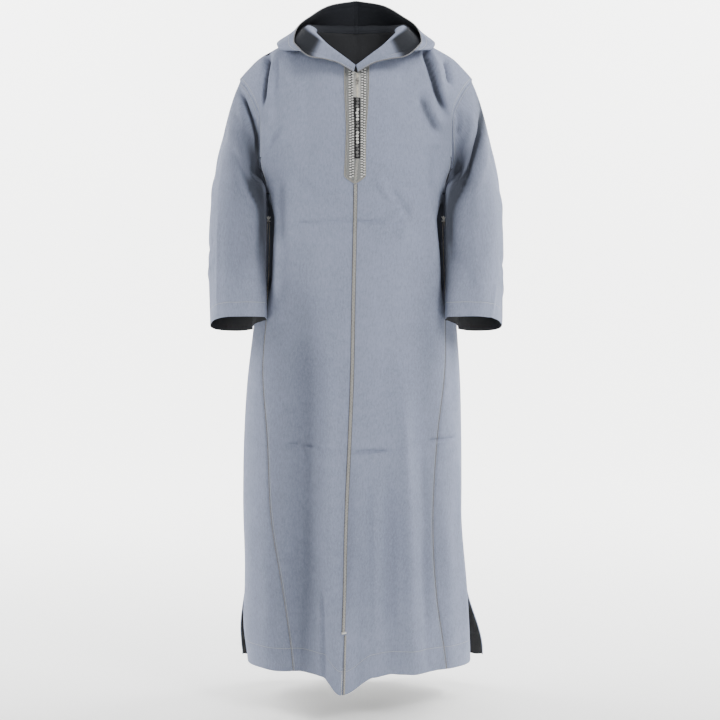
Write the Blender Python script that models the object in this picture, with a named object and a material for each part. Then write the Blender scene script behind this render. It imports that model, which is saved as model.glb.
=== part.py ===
"""Hooded ankle-length robe, worn and standing open on a general figure.

Metres, +Z up, front towards -Y, the wearer's left towards +X.
The origin is the middle of the base of the neck, where the wearer carries the robe.
Every panel is a closed cloth wall: a grid of outer points and the same grid moved in.
"""
import math
from collections import namedtuple

import bmesh
import bpy
import numpy as np
from mathutils import Matrix, Vector
from mathutils.bvhtree import BVHTree

# ---- driving dimensions -------------------------------------------------
WALL = 0.002              # thickness of the cloth
SEAM_GAP = 0.0003         # space between two panels at a seam
ARMPIT_Z = -0.33          # height of the underarm
SQUARENESS = 2.3          # 2 would be an ellipse, more is boxier
SLIT_TOP_Z = -1.345       # where the centre front opens
SLIT_SPREAD = 0.0012      # half the width of the front slit at the hem
HEM_Z = -1.452
FRONT_TIP_DROP = 0.036    # how far the front tip hangs below the hem
FRONT_TIP_X = -0.032
FRONT_TIP_WIDTH = 0.034
HEM_SIDE_DROP = 0.012     # the hem is this much lower at the side seams
HEM_BACK_DROP = 0.016     # and this much lower at the back
VENT_TOP_Z = -1.275       # where the side seams open
VENT_SPREAD = 0.006       # half the gap between the vent's edges at the hem
VENT_FLARE = {-1: 0.016, 1: 0.034}    # how far the back edge of the vent stands out
VENT_FLARE_BACK = 0.014
VENT_FLARE_ANGLE = 0.5    # how far round the back the flare reaches, in radians

# rows and columns of the panel grids
LOWER_ROWS = 17
UPPER_ROWS = 8
RIDGE_COLUMNS = 7         # columns that end on the shoulder seam
NECK_COLUMNS_FRONT = 7
NECK_COLUMNS_BACK = 5
GORE_COLUMNS = 3
SLEEVE_RINGS = 15

# ---- sections and seams (one row for each height) -----------------------
Section = namedtuple("Section", "z left right front back")
SECTIONS = [
    Section(-1.60, 0.265, 0.284, 0.192, 0.176),
    Section(-1.47, 0.266, 0.281, 0.188, 0.172),
    Section(-1.37, 0.276, 0.277, 0.182, 0.166),
    Section(-1.27, 0.2725, 0.270, 0.176, 0.160),
    Section(-1.12, 0.271, 0.256, 0.170, 0.154),
    Section(-0.92, 0.267, 0.252, 0.162, 0.148),
    Section(-0.78, 0.258, 0.248, 0.156, 0.144),
    Section(-0.62, 0.239, 0.237, 0.150, 0.138),
    Section(-0.45, 0.230, 0.230, 0.142, 0.130),
    Section(-0.33, 0.222, 0.222, 0.132, 0.124),
    Section(-0.20, 0.221, 0.221, 0.128, 0.118),
]

Seam = namedtuple("Seam", "z centre left right back")
SEAMS = [
    Seam(-1.60, -0.036, 0.150, 0.224, 0.175),
    Seam(-1.45, -0.033, 0.151, 0.218, 0.175),
    Seam(-1.27, -0.027, 0.1735, 0.193, 0.172),
    Seam(-1.10, -0.0235, 0.201, 0.184, 0.178),
    Seam(-0.90, -0.0145, 0.211, 0.194, 0.186),
    Seam(-0.74, -0.0085, 0.222, 0.212, 0.196),
    Seam(-0.60, -0.006, 0.212, 0.213, 0.200),
    Seam(-0.33, -0.001, 0.205, 0.205, 0.202),
    Seam(-0.20, 0.0, 0.205, 0.205, 0.202),
]

# long soft folds of the skirt: a positive depth is a ridge, a negative one a trough
Fold = namedtuple("Fold", "x_top z_top x_bottom z_bottom width depth")
FRONT_FOLDS = [
    Fold(-0.028, -1.17, -0.034, -1.50, 0.034, 0.034),
    Fold(-0.118, -0.62, -0.132, -1.45, 0.030, -0.019),
    Fold(-0.064, -0.62, -0.062, -1.42, 0.020, 0.010),
    Fold(-0.212, -0.70, -0.203, -1.45, 0.026, 0.008),
    Fold(-0.012, -0.95, -0.014, -1.40, 0.018, -0.007),
    Fold(0.060, -0.88, 0.048, -1.45, 0.018, 0.007),
    Fold(0.085, -0.92, 0.083, -1.45, 0.015, -0.008),
    Fold(0.104, -0.66, 0.140, -1.45, 0.022, 0.011),
    Fold(0.178, -0.78, 0.195, -1.45, 0.020, -0.006),
]
BACK_FOLDS = [
    Fold(-0.130, -0.45, -0.150, -1.50, 0.036, 0.010),
    Fold(-0.050, -0.60, -0.060, -1.50, 0.032, -0.010),
    Fold(0.030, -0.50, 0.025, -1.50, 0.036, 0.011),
    Fold(0.105, -0.60, 0.120, -1.50, 0.032, -0.010),
    Fold(0.170, -0.45, 0.185, -1.50, 0.030, 0.007),
]
FOLD_FADE = 0.16          # length over which a fold dies out at its top

# how the fronts and the back arch over the shoulders
ARCH_RISE = 0.9
ARCH_FULLNESS = 0.72
SHOULDER_Y = 0.004

# ---- neck, shoulder, armhole (the wearer's left half) -------------------
NeckPoint = namedtuple("NeckPoint", "u x y z")
NECKLINE = [
    NeckPoint(0.00, 0.0042, -0.1055, -0.047),
    NeckPoint(0.15, 0.036, -0.0965, -0.024),
    NeckPoint(0.30, 0.066, -0.0815, 0.000),
    NeckPoint(0.45, 0.0895, -0.054, 0.029),
    NeckPoint(0.53, 0.0955, -0.030, 0.042),
    NeckPoint(0.60, 0.097, 0.004, 0.047),
    NeckPoint(0.75, 0.085, 0.052, 0.055),
    NeckPoint(0.90, 0.045, 0.080, 0.056),
    NeckPoint(1.00, 0.000, 0.088, 0.056),
]
NECK_SIDE_U = 0.60        # where the shoulder seam meets the neckline

RidgePoint = namedtuple("RidgePoint", "x z")
SHOULDER = [
    RidgePoint(0.097, 0.047),
    RidgePoint(0.140, 0.034),
    RidgePoint(0.190, 0.011),
    RidgePoint(0.2315, -0.013),
    RidgePoint(0.2577, -0.0385),
    RidgePoint(0.277, -0.060),
]

ArmholePoint = namedtuple("ArmholePoint", "w x y_front y_back z")
ARMHOLE = [
    ArmholePoint(0.20, 0.2215, -0.074, 0.080, -0.272),
    ArmholePoint(0.45, 0.2225, -0.086, 0.092, -0.196),
    ArmholePoint(0.65, 0.2270, -0.080, 0.088, -0.140),
    ArmholePoint(0.84, 0.2520, -0.048, 0.054, -0.090),
    ArmholePoint(1.00, 0.2770, 0.000, 0.000, -0.060),
]

# sleeve sections, from the armhole to the cuff: its innermost and outermost points
SleeveRing = namedtuple("SleeveRing", "inner_x inner_z outer_x outer_z mid_y depth lift skew")
SLEEVE = [
    SleeveRing(0.222, -0.330, 0.277, -0.060, 0.000, 0.088, 0.000, 0.00),
    SleeveRing(0.228, -0.315, 0.289, -0.090, 0.000, 0.090, 0.000, 0.03),
    SleeveRing(0.2365, -0.319, 0.300, -0.127, 0.000, 0.091, 0.000, 0.08),
    SleeveRing(0.2360, -0.342, 0.312, -0.180, -0.005, 0.090, 0.002, 0.16),
    SleeveRing(0.2320, -0.376, 0.326, -0.255, -0.010, 0.088, 0.004, 0.26),
    SleeveRing(0.2290, -0.424, 0.340, -0.350, -0.015, 0.086, 0.008, 0.32),
    SleeveRing(0.2290, -0.485, 0.3455, -0.450, -0.022, 0.085, 0.012, 0.34),
    SleeveRing(0.2320, -0.555, 0.3455, -0.545, -0.034, 0.084, 0.018, 0.30),
    SleeveRing(0.2260, -0.638, 0.3455, -0.636, -0.047, 0.083, 0.024, 0.20),
]
SLEEVE_SQUARENESS = 2.5
SLEEVE_CLEARANCE = 0.006   # space kept to the side of the skirt
SLEEVE_TUCK = 0.85         # the front of the sleeve is drawn in towards the skirt by this share
SLEEVE_TUCK_X = 0.205      # and not past this distance from the middle
TUCK_START = 0.25          # cosine of the angle where the tuck begins
TUCK_LENGTH = 0.6
TUCK_FRONT = 0.5           # sine of the angle where it is full
TUCK_FALL = 0.08           # how far below the underarm it is full
ELBOW_FOLD_Z = -0.52
ELBOW_FOLD_DEPTH = 0.007
ELBOW_FOLD_WIDTH = 0.030

# hood thrown back: where its cloth turns over, and its free edge
HOOD_STAND = 0.008         # how far the hood rises from the neckline before it turns over
HOOD_CREST = 0.016         # how far it goes outwards there
HOOD_FOLD_RADIUS = 0.007
HOOD_FOLD_SHARE = 0.2     # a narrow turned edge has a tighter fold
HOOD_TANGENT_STEP = 0.01
HoodRow = namedtuple("HoodRow", "u fold_x fold_y fold_z rim_x rim_y rim_z under over")
HOOD = [
    HoodRow(0.00, 0.0046, -0.1125, -0.0505, 0.0048, -0.1205, -0.0535, 0.000, 0.000),
    HoodRow(0.12, 0.0370, -0.1130, -0.0330, 0.0400, -0.1235, -0.0340, 0.000, 0.000),
    HoodRow(0.25, 0.0680, -0.1110, -0.0190, 0.0730, -0.1240, -0.0245, 0.001, 0.001),
    HoodRow(0.36, 0.1080, -0.1050, -0.0060, 0.1120, -0.1180, -0.0160, 0.001, 0.002),
    HoodRow(0.46, 0.1520, -0.0870, -0.0010, 0.1440, -0.0960, 0.0100, 0.000, 0.003),
    HoodRow(0.54, 0.1790, -0.0590, 0.0080, 0.1490, -0.0680, 0.0240, -0.003, 0.004),
    HoodRow(0.62, 0.1850, -0.0240, 0.0230, 0.1465, -0.0380, 0.0450, -0.002, 0.005),
    HoodRow(0.70, 0.1740, 0.0340, 0.0270, 0.1370, -0.0040, 0.0660, 0.002, 0.007),
    HoodRow(0.80, 0.1540, 0.1080, -0.0460, 0.1130, 0.0320, 0.0880, 0.012, 0.026),
    HoodRow(0.90, 0.1040, 0.1480, -0.1700, 0.0670, 0.0840, 0.1200, 0.020, 0.044),
    HoodRow(1.00, 0.0000, 0.1560, -0.3000, 0.0000, 0.1120, 0.1350, 0.022, 0.044),
]
HOOD_LEAN = 0.004          # how far the rim leans to the wearer's left at the shoulders

# ---- trims --------------------------------------------------------------
TRIM_LIFT = 0.0003         # space between a trim and the cloth that it lies on
ZIP_X = 0.0035             # the zip stands a little to the wearer's left
TAPE_HALF = 0.0066         # half the width of the zip tape and of the knotted tape
ZIP_TOP_Z = -0.0550
ZIP_BOTTOM_Z = -0.1115
ZIP_TAPE_THICKNESS = 0.0008
KNOT_TAPE_TOP_Z = -0.1120
KNOT_TAPE_BOTTOM_Z = -0.2500
KNOT_TAPE_THICKNESS = 0.0010
KNOT_COUNT = 18
KNOT_HEIGHT = 0.0026
KNOT_PLACES = (-1.0, -0.46, 0.0, 0.46, 1.0)     # across the tape, and how high a knot is there
KNOT_SHAPE = (0.0, 0.6, 1.0, 0.6, 0.0)
TAPE_STEP = 0.010          # length of one piece of a tape's grid
ACROSS = (-1.0, 0.0, 1.0)
PLACKET_BASE = 0.0008
PLACKET_RIB = 0.0014       # how far the two raised columns stand above the base
PLACKET_RIB_PLACES = (0.0, 0.10, 0.24, 0.34, 0.48, 0.62, 1.0)
PLACKET_RIB_HEIGHTS = (0.0, 1.0, 1.0, 0.3, 1.0, 1.0, 0.0)
CORD_RADIUS = 0.0011
BRAID_TOP_Z = -0.3100
BRAID_HALF_TOP = 0.0056
BRAID_HALF_BOTTOM = 0.0046
BRAID_THICKNESS = 0.0014
BRAID_SHAPE = (0.6, 1.0, 0.6)          # its thickness at one edge, the middle, the other edge
BRAID_STEP = 0.0165
SLIT_BRAID_STEP = 0.0125
SLIT_BRAID_INSET = 0.0004              # from the edge of the cloth
SLIT_BRAID_END = 0.004                 # from the lowest point of that edge
SLIT_BRAID_WIDTH = 0.0062
HOOD_CORD_RADIUS = 0.0012
POCKET_TOP_Z = -0.395
POCKET_BOTTOM_Z = -0.600
POCKET_HALF_WIDTH = 0.0032
POCKET_STEP = 0.017
POCKET_ROUNDING = 0.35     # the smaller, the blunter the ends of the loop

# the outline of the placket: where its cord runs
Outline = namedtuple("Outline", "z right left")
PLACKET = [
    Outline(-0.050, -0.0262, 0.0300),
    Outline(-0.095, -0.0256, 0.0297),
    Outline(-0.185, -0.0213, 0.0233),
    Outline(-0.247, -0.0240, 0.0222),
    Outline(-0.288, -0.0266, 0.0226),
]
PLACKET_POINT = (-0.0019, -0.307)      # x and z of the point below the placket
POINT_SHOULDER_X = 0.012               # the cord's bend beside the point
POINT_SHOULDER_Z = -0.300
PLACKET_STEP = 0.0139                  # length of one piece of the placket's grid
NECK_MARGIN = 0.007                    # from the neckline down to the placket's upper end

# zip slider and its pull tab, in the plane of the cloth
SLIDER_Z = -0.071
SLIDER_LENGTH = 0.0090
SLIDER_WIDTH = 0.0070
SLIDER_THICKNESS = 0.0026
BRIDGE_WIDTH = 0.0014      # the loop on the slider that holds the pull
BRIDGE_HALF_LENGTH = 0.0024
BRIDGE_HEIGHT = 0.0034
BRIDGE_BAR = 0.0009
PULL_BAR = 0.0010          # the bar of the pull that turns under the bridge
PULL_LENGTH = 0.0120
PULL_WIDTH = 0.0050
PULL_EYE = 0.0040          # length of the hole in the pull
PULL_EYE_HALF_WIDTH = 0.0013

RIGHT, LEFT = -1, 1        # the wearer's right is at -X


# ---- small mathematics --------------------------------------------------
def column(table, name):
    """One named column of a table as an array."""
    return np.array([getattr(row, name) for row in table], float)


def through(keys, values, at):
    """A smooth curve through (key, value) pairs, read at the places given.

    Cubic Hermite pieces whose slopes at the keys are those of the neighbouring chords.
    """
    keys, values, at = np.asarray(keys, float), np.asarray(values, float), np.asarray(at, float)
    order = np.argsort(keys)
    keys, values = keys[order], values[order]
    chord = np.diff(values) / np.diff(keys)
    slope = np.concatenate([chord[:1], (chord[:-1] + chord[1:]) / 2, chord[-1:]])
    piece = np.clip(np.searchsorted(keys, at) - 1, 0, len(keys) - 2)
    width = keys[piece + 1] - keys[piece]
    part = (at - keys[piece]) / width
    square, cube = part ** 2, part ** 3
    return ((2 * cube - 3 * square + 1) * values[piece]
            + (cube - 2 * square + part) * width * slope[piece]
            + (3 * square - 2 * cube) * values[piece + 1]
            + (cube - square) * width * slope[piece + 1])


def ease(value):
    """0 below 0, 1 above 1, and a smooth step between."""
    value = np.clip(value, 0.0, 1.0)
    return value * value * (3 - 2 * value)


def unit(vectors):
    length = np.linalg.norm(vectors, axis=-1, keepdims=True)
    return vectors / np.maximum(length, 1e-12)


def power(value, exponent):
    """A power that keeps the sign."""
    return np.sign(value) * np.abs(value) ** exponent


# ---- the skirt: rings from the hem to the underarm ----------------------
def half_width(side, z):
    return through(column(SECTIONS, "z"), column(SECTIONS, "left" if side == RIGHT else "right"), z)


def section_depth(front, z):
    return through(column(SECTIONS, "z"), column(SECTIONS, "front" if front else "back"), z)


def fold_relief(folds, x, z):
    """The sum of the long folds at (x, z): each a soft ridge across, fading in down its length."""
    total = np.zeros(np.broadcast(x, z).shape)
    for fold in folds:
        part = (fold.z_top - z) / (fold.z_top - fold.z_bottom)
        middle = fold.x_top + (fold.x_bottom - fold.x_top) * part
        grown = ease((fold.z_top - z) / FOLD_FADE) * (0.45 + 0.55 * np.clip(part, 0, 1))
        total += fold.depth * grown * np.exp(-((x - middle) / fold.width) ** 2)
    return total


def hem_height(side, angle):
    """Height of the hem at an angle of the ring: level, with a low tip at the centre front."""
    x = side * half_width(side, HEM_Z) * power(np.sin(angle), 2 / SQUARENESS)
    front = np.cos(angle) > 0
    tip = FRONT_TIP_DROP * np.exp(-((x - FRONT_TIP_X) / FRONT_TIP_WIDTH) ** 2) * front
    side_drop = HEM_SIDE_DROP * np.abs(np.sin(angle)) ** 8
    back_drop = HEM_BACK_DROP * ease(-np.cos(angle) * 3)
    return HEM_Z - tip - side_drop - back_drop


def skirt(side, angle, z, behind_vent=False):
    """A point of the skirt: angle 0 is the centre front, pi the centre back.

    The panels behind the vent flare outwards towards its edge.
    """
    width = half_width(side, z)
    front = np.cos(angle) >= 0
    depth = np.where(front, section_depth(True, z), section_depth(False, z))
    x = side * width * power(np.sin(angle), 2 / SQUARENESS)
    y = -depth * power(np.cos(angle), 2 / SQUARENESS)
    middle = 1 - np.clip(np.abs(x) / width, 0, 1) ** 5
    relief = np.where(front, fold_relief(FRONT_FOLDS, x, z), fold_relief(BACK_FOLDS, x, z))
    y = y + np.where(front, -1, 1) * relief * middle
    if behind_vent:
        opened = ease((VENT_TOP_Z - z) / (VENT_TOP_Z - HEM_Z))
        beside = np.exp(-((angle - math.pi / 2) / VENT_FLARE_ANGLE) ** 2)
        x = x + side * VENT_FLARE[side] * opened * beside
        y = y + VENT_FLARE_BACK * opened * beside
    return np.stack([x, y, z + 0 * x], -1)


def ring_angle(side, x, z, front=True):
    """The angle at which the ring at height z reaches x."""
    reach = np.clip(side * x / half_width(side, z), -0.999, 0.999)
    angle = np.arcsin(power(reach, SQUARENESS / 2))
    return angle if front else math.pi - angle


def seam_angle(side, name, z):
    """The angle of a seam: centre, gore_front, side, gore_back or back."""
    if name == "centre":
        return ring_angle(side, through(column(SEAMS, "z"), column(SEAMS, "centre"), z), z)
    if name == "gore_front":
        place = column(SEAMS, "left" if side == RIGHT else "right")
        return ring_angle(side, side * through(column(SEAMS, "z"), place, z), z)
    if name == "gore_back":
        return ring_angle(side, side * through(column(SEAMS, "z"), column(SEAMS, "back"), z), z, False)
    if name == "side":
        return np.full(np.shape(z), math.pi / 2)
    return np.full(np.shape(z), math.pi)


def skirt_rows(side, start, end, columns, rows):
    """Angles and heights of a skirt panel between two named seams, as two grids."""
    across = np.linspace(0, 1, columns + 1)[None, :]
    up = np.linspace(0, 1, rows + 1)[:, None]
    level = HEM_Z + (ARMPIT_Z - HEM_Z) * up[:, 0]
    first, last = seam_angle(side, start, level), seam_angle(side, end, level)
    angle = first[:, None] + (last - first)[:, None] * across
    hem = hem_height(side, angle)
    return angle, hem + (ARMPIT_Z - hem) * up


# ---- the yoke: from the underarm over the shoulder ----------------------
def neckline(side, u):
    keys = column(NECKLINE, "u")
    x, y, z = (through(keys, column(NECKLINE, name), u) for name in "xyz")
    return np.stack([side * x, y, z], -1)


def shoulder(side, part):
    """The shoulder seam, from the neck (0) to the dropped tip (1)."""
    first, last = SHOULDER[0].x, SHOULDER[-1].x
    x = first + (last - first) * part
    z = through(column(SHOULDER, "x"), column(SHOULDER, "z"), x)
    y = SHOULDER_Y * (1 - part)
    return np.stack([side * x, y + 0 * x, z], -1)


def yoke_top(side, front, t, neck_share):
    """The upper edge of a panel: the neckline for t up to neck_share, then the shoulder."""
    start = 0.0 if front else 1.0
    u = start + (NECK_SIDE_U - start) * np.clip(t / neck_share, 0, 1)
    on_shoulder = np.clip((t - neck_share) / (1 - neck_share), 0, 1)
    past_neck = (t > neck_share)[..., None]
    return np.where(past_neck, shoulder(side, on_shoulder), neckline(side, u))


def armhole(side, front, w, foot):
    """The armhole edge, from its foot on the top skirt ring (0) to the shoulder tip (1)."""
    keys = np.concatenate([[0.0], column(ARMHOLE, "w")])
    names = ("x", "y_front" if front else "y_back", "z")
    start = (side * foot[0], foot[1], foot[2])
    curve = [through(keys, np.concatenate([[begin], column(ARMHOLE, name)]), w)
             for name, begin in zip(names, start)]
    return np.stack([side * curve[0], curve[1], curve[2]], -1)


def yoke(side, front, t, w, neck_share):
    """A point of the front or back above the underarm.

    Each column is an arch from the top skirt ring towards a ridge over the shoulders, cut
    off where it meets the neckline. The columns near the arm are bent so that the last
    one runs along the armhole.
    """
    centre = "centre" if front else "back"
    gore = "gore_front" if front else "gore_back"
    level = np.full(np.shape(t), ARMPIT_Z)
    first, last = seam_angle(side, centre, level), seam_angle(side, gore, level)

    def arch(t_value):
        foot = skirt(side, first + (last - first) * t_value, level + 0 * t_value)
        top = yoke_top(side, front, t_value, neck_share)
        ridge_y = np.where(t_value > neck_share, top[..., 1], SHOULDER_Y)
        stay_top = np.clip((top[..., 1] - ridge_y) / (foot[..., 1] - ridge_y), 0, 1)
        full_turn = np.arccos(stay_top ** (1 / ARCH_FULLNESS))
        full_rise = np.sin(full_turn) ** ARCH_RISE
        turn = full_turn * w
        part = (np.sin(turn) ** ARCH_RISE / full_rise)[..., None]
        point = foot + (top - foot) * part
        point[..., 1] = ridge_y + (foot[..., 1] - ridge_y) * np.maximum(np.cos(turn), 0) ** ARCH_FULLNESS
        return point

    foot = skirt(side, last.flat[0], np.array(ARMPIT_Z))
    edge = armhole(side, front, w, foot)
    return arch(t) + (edge - arch(np.ones_like(t))) * (np.clip(t, 0, 1) ** 4)[..., None]


# ---- panels as grids ----------------------------------------------------
STEP = 1e-4


def normals_of(function, u, v, outward):
    """Unit normals of a surface function, from its slopes, turned to the side given."""
    along_u = function(u + STEP, v) - function(u - STEP, v)
    along_v = function(u, v + STEP) - function(u, v - STEP)
    normal = unit(np.cross(along_u, along_v))
    flip = np.sum(normal * outward, -1, keepdims=True) < 0
    return np.where(flip, -normal, normal)


def soften(normal):
    """Each normal is eased towards the mean of its four neighbours in the grid."""
    grown = np.pad(normal, ((1, 1), (1, 1), (0, 0)), mode="edge")
    around = grown[:-2, 1:-1] + grown[2:, 1:-1] + grown[1:-1, :-2] + grown[1:-1, 2:]
    return unit(2 * normal + around)


def skirt_panel(side, start, end, columns):
    angle, height = skirt_rows(side, start, end, columns, LOWER_ROWS)
    behind = start == "side" or start == "back"
    outer = skirt(side, angle, height, behind)
    outward = np.stack([side * np.sin(angle), -np.cos(angle), 0 * angle], -1)
    normal = normals_of(lambda a, z: skirt(side, a, z, behind), angle, height, outward)
    return {"outer": outer, "normal": normal}


def full_panel(side, front):
    """A front or half back: its skirt rows, with the yoke rows on top."""
    centre = "centre" if front else "back"
    gore = "gore_front" if front else "gore_back"
    neck_columns = NECK_COLUMNS_FRONT if front else NECK_COLUMNS_BACK
    columns = neck_columns + RIDGE_COLUMNS
    lower = skirt_panel(side, centre, gore, columns)
    share = neck_columns / columns
    t, w = np.meshgrid(np.linspace(0, 1, columns + 1), np.linspace(0, 1, UPPER_ROWS + 1)[1:])
    upper = yoke(side, front, t, w, share)
    facing = np.array([0.2 * side, -1.0 if front else 1.0, 0.6])
    inside_t = np.clip(t, 2 * STEP, 1 - 2 * STEP)
    inside_t = np.where(np.abs(t - share) < 1e-6, share + 2 * STEP, inside_t)
    inside_w = np.clip(w, 2 * STEP, 0.94)
    normal = normals_of(lambda a, b: yoke(side, front, a, b, share), inside_t, inside_w, facing)
    return {"outer": np.concatenate([lower["outer"], upper]),
            "normal": np.concatenate([lower["normal"], soften(soften(normal))])}


def share_normals(first, first_edge, second, second_edge):
    """Two panels that meet take the mean of their normals along the seam."""
    mean = unit(first["normal"][first_edge] + second["normal"][second_edge])
    first["normal"][first_edge] = mean
    second["normal"][second_edge] = mean


def edge_direction(points, normals, neighbours):
    """Unit vectors that lie in the cloth and point across an edge, away from the panel."""
    along = np.gradient(points, axis=0)
    across = unit(np.cross(along, normals))
    flip = np.sum(across * (points - neighbours), -1, keepdims=True) < 0
    return np.where(flip, -across, across)


def pull_back(panel, edge, neighbour, distance=SEAM_GAP / 2):
    """Draws one edge of a panel back from the seam, wall and all."""
    points = panel["outer"][edge]
    direction = edge_direction(points, panel["normal"][edge], panel["outer"][neighbour])
    amount = np.broadcast_to(np.asarray(distance, float), points.shape[:1])[:, None]
    panel["shift"][edge] -= direction * amount
    return direction


ALL = slice(None)
FIRST_COLUMN, SECOND_COLUMN = (ALL, 0), (ALL, 1)
LAST_COLUMN, NEXT_TO_LAST_COLUMN = (ALL, -1), (ALL, -2)
TOP_ROW, ROW_BELOW_TOP = (-1, ALL), (-2, ALL)
BOTTOM_ROW, ROW_ABOVE_BOTTOM = (0, ALL), (1, ALL)


# ---- meshes -------------------------------------------------------------
def material(name, colour, roughness, metallic=0.0):
    made = bpy.data.materials.new(name)
    made.use_nodes = True
    shader = made.node_tree.nodes["Principled BSDF"]
    shader.inputs["Base Color"].default_value = (*colour, 1.0)
    shader.inputs["Roughness"].default_value = roughness
    shader.inputs["Metallic"].default_value = metallic
    made.diffuse_color = (*colour, 1.0)
    return made


def add_object(name, mesh, colour, roughness, metallic=0.0):
    thing = bpy.data.objects.new(name, mesh)
    mesh.materials.clear()
    mesh.materials.append(material(name + "_finish", colour, roughness, metallic))
    ROBE.objects.link(thing)
    return thing


CLOTH = (0.33, 0.37, 0.43)
BRAID = (0.42, 0.43, 0.42)
DARK = (0.05, 0.05, 0.055)
METAL = (0.20, 0.20, 0.21)


def wall_mesh(name, outer, inner, closed=False):
    """A closed wall between two grids of points; closed joins the last column to the first."""
    rows, columns = outer.shape[:2]
    index = np.arange(rows * columns).reshape(rows, columns)
    if closed:
        index = np.concatenate([index, index[:, :1]], 1)
    back = index + rows * columns

    def quads(grid, flipped):
        corners = [grid[:-1, :-1], grid[:-1, 1:], grid[1:, 1:], grid[1:, :-1]]
        stacked = np.stack(corners[::-1] if flipped else corners, -1)
        return stacked.reshape(-1, 4).tolist()

    def rim(line, inner_line):
        return np.stack([line[:-1], inner_line[:-1], inner_line[1:], line[1:]], -1).tolist()

    faces = quads(index, False) + quads(back, True)
    faces += rim(index[0], back[0]) + rim(index[-1][::-1], back[-1][::-1])
    if not closed:
        faces += rim(index[:, 0][::-1], back[:, 0][::-1]) + rim(index[:, -1], back[:, -1])
    mesh = bpy.data.meshes.new(name)
    points = np.concatenate([outer.reshape(-1, 3), inner.reshape(-1, 3)])
    mesh.from_pydata(points.tolist(), [], faces)
    work = bmesh.new()
    work.from_mesh(mesh)
    bmesh.ops.triangulate(work, faces=work.faces, quad_method="SHORT_EDGE")
    if work.calc_volume(signed=True) < 0:
        bmesh.ops.reverse_faces(work, faces=work.faces)
    work.to_mesh(mesh)
    work.free()
    mesh.shade_smooth()
    mesh.set_sharp_from_angle(angle=math.radians(50))
    return mesh


def add_panel(name, panel, colour=CLOTH, closed=False):
    outer = panel["outer"] + panel["shift"]
    inner = panel["outer"] - WALL * panel["normal"] + panel["shift"]
    return add_object(name, wall_mesh(name, outer, inner, closed), colour, 0.9)


# ---- body of the robe ---------------------------------------------------
def make_panels():
    """The fronts, back and side gores, with their seams opened by the gap."""
    panels = {}
    for side, word in ((RIGHT, "right"), (LEFT, "left")):
        panels["front_" + word] = full_panel(side, True)
        panels["back_" + word] = full_panel(side, False)
        panels["gore_front_" + word] = skirt_panel(side, "gore_front", "side", GORE_COLUMNS)
        panels["gore_back_" + word] = skirt_panel(side, "side", "gore_back", GORE_COLUMNS)
    for panel in panels.values():
        panel["shift"] = np.zeros_like(panel["outer"])
    skirt_part = slice(0, LOWER_ROWS + 1)
    share_normals(panels["front_right"], FIRST_COLUMN, panels["front_left"], FIRST_COLUMN)
    share_normals(panels["back_right"], FIRST_COLUMN, panels["back_left"], FIRST_COLUMN)
    for word in ("right", "left"):
        front, back = panels["front_" + word], panels["back_" + word]
        gore_front, gore_back = panels["gore_front_" + word], panels["gore_back_" + word]
        share_normals(front, (skirt_part, -1), gore_front, FIRST_COLUMN)
        sewn = gore_front["outer"][:, -1, 2] > VENT_TOP_Z
        share_normals(gore_front, (sewn, -1), gore_back, (sewn, 0))
        share_normals(back, (skirt_part, -1), gore_back, LAST_COLUMN)
        share_normals(front, (-1, slice(-RIDGE_COLUMNS - 1, None)),
                      back, (-1, slice(-RIDGE_COLUMNS - 1, None)))
    return panels


def slit_distance(outer):
    """How far the edge of a front stands back from the centre, along its length."""
    opened = np.clip((SLIT_TOP_Z - outer[:, 2]) / (SLIT_TOP_Z - HEM_Z), 0, 1)
    return SEAM_GAP / 2 + SLIT_SPREAD * opened


def vent_distance(outer):
    opened = np.clip((VENT_TOP_Z - outer[:, 2]) / (VENT_TOP_Z - HEM_Z), 0, 1)
    return SEAM_GAP / 2 + VENT_SPREAD * opened


def open_seams(panels):
    """Draws back every sewn edge; returns the directions along each armhole and neckline."""
    edges = {}
    ridge = slice(-RIDGE_COLUMNS - 1, None)
    for word in ("right", "left"):
        front, back = panels["front_" + word], panels["back_" + word]
        gore_front, gore_back = panels["gore_front_" + word], panels["gore_back_" + word]
        pull_back(front, FIRST_COLUMN, SECOND_COLUMN, slit_distance(front["outer"][:, 0]))
        lower = slice(0, LOWER_ROWS + 1)
        upper = slice(LOWER_ROWS, None)
        for panel, gore, gore_edge, gore_next in (
                (front, gore_front, FIRST_COLUMN, SECOND_COLUMN),
                (back, gore_back, LAST_COLUMN, NEXT_TO_LAST_COLUMN)):
            pull_back(panel, (lower, -1), (lower, -2))
            pull_back(gore, gore_edge, gore_next)
        vent = vent_distance(gore_front["outer"][:, -1])
        pull_back(gore_front, LAST_COLUMN, NEXT_TO_LAST_COLUMN, vent)
        pull_back(gore_back, FIRST_COLUMN, SECOND_COLUMN, vent)
        for name, panel in (("front", front), ("back", back)):
            neck = slice(0, panel["outer"].shape[1] - RIDGE_COLUMNS)
            pull_back(panel, (-1, ridge), (-2, ridge))
            edges["arm_" + name] = pull_back(panel, (upper, -1), (upper, -2))
            edges["neck_" + name] = pull_back(panel, (-1, neck), (-2, neck))
        edges["arm_gore_front"] = pull_back(gore_front, TOP_ROW, ROW_BELOW_TOP)
        edges["arm_gore_back"] = pull_back(gore_back, TOP_ROW, ROW_BELOW_TOP)
        panels["edges_" + word] = dict(edges)
    return panels


def join_backs(panels):
    """The back is one piece: its two halves share the centre column."""
    right, left = panels["back_right"], panels["back_left"]
    return {key: np.concatenate([right[key][:, ::-1], left[key][:, 1:]], 1) for key in right}


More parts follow.
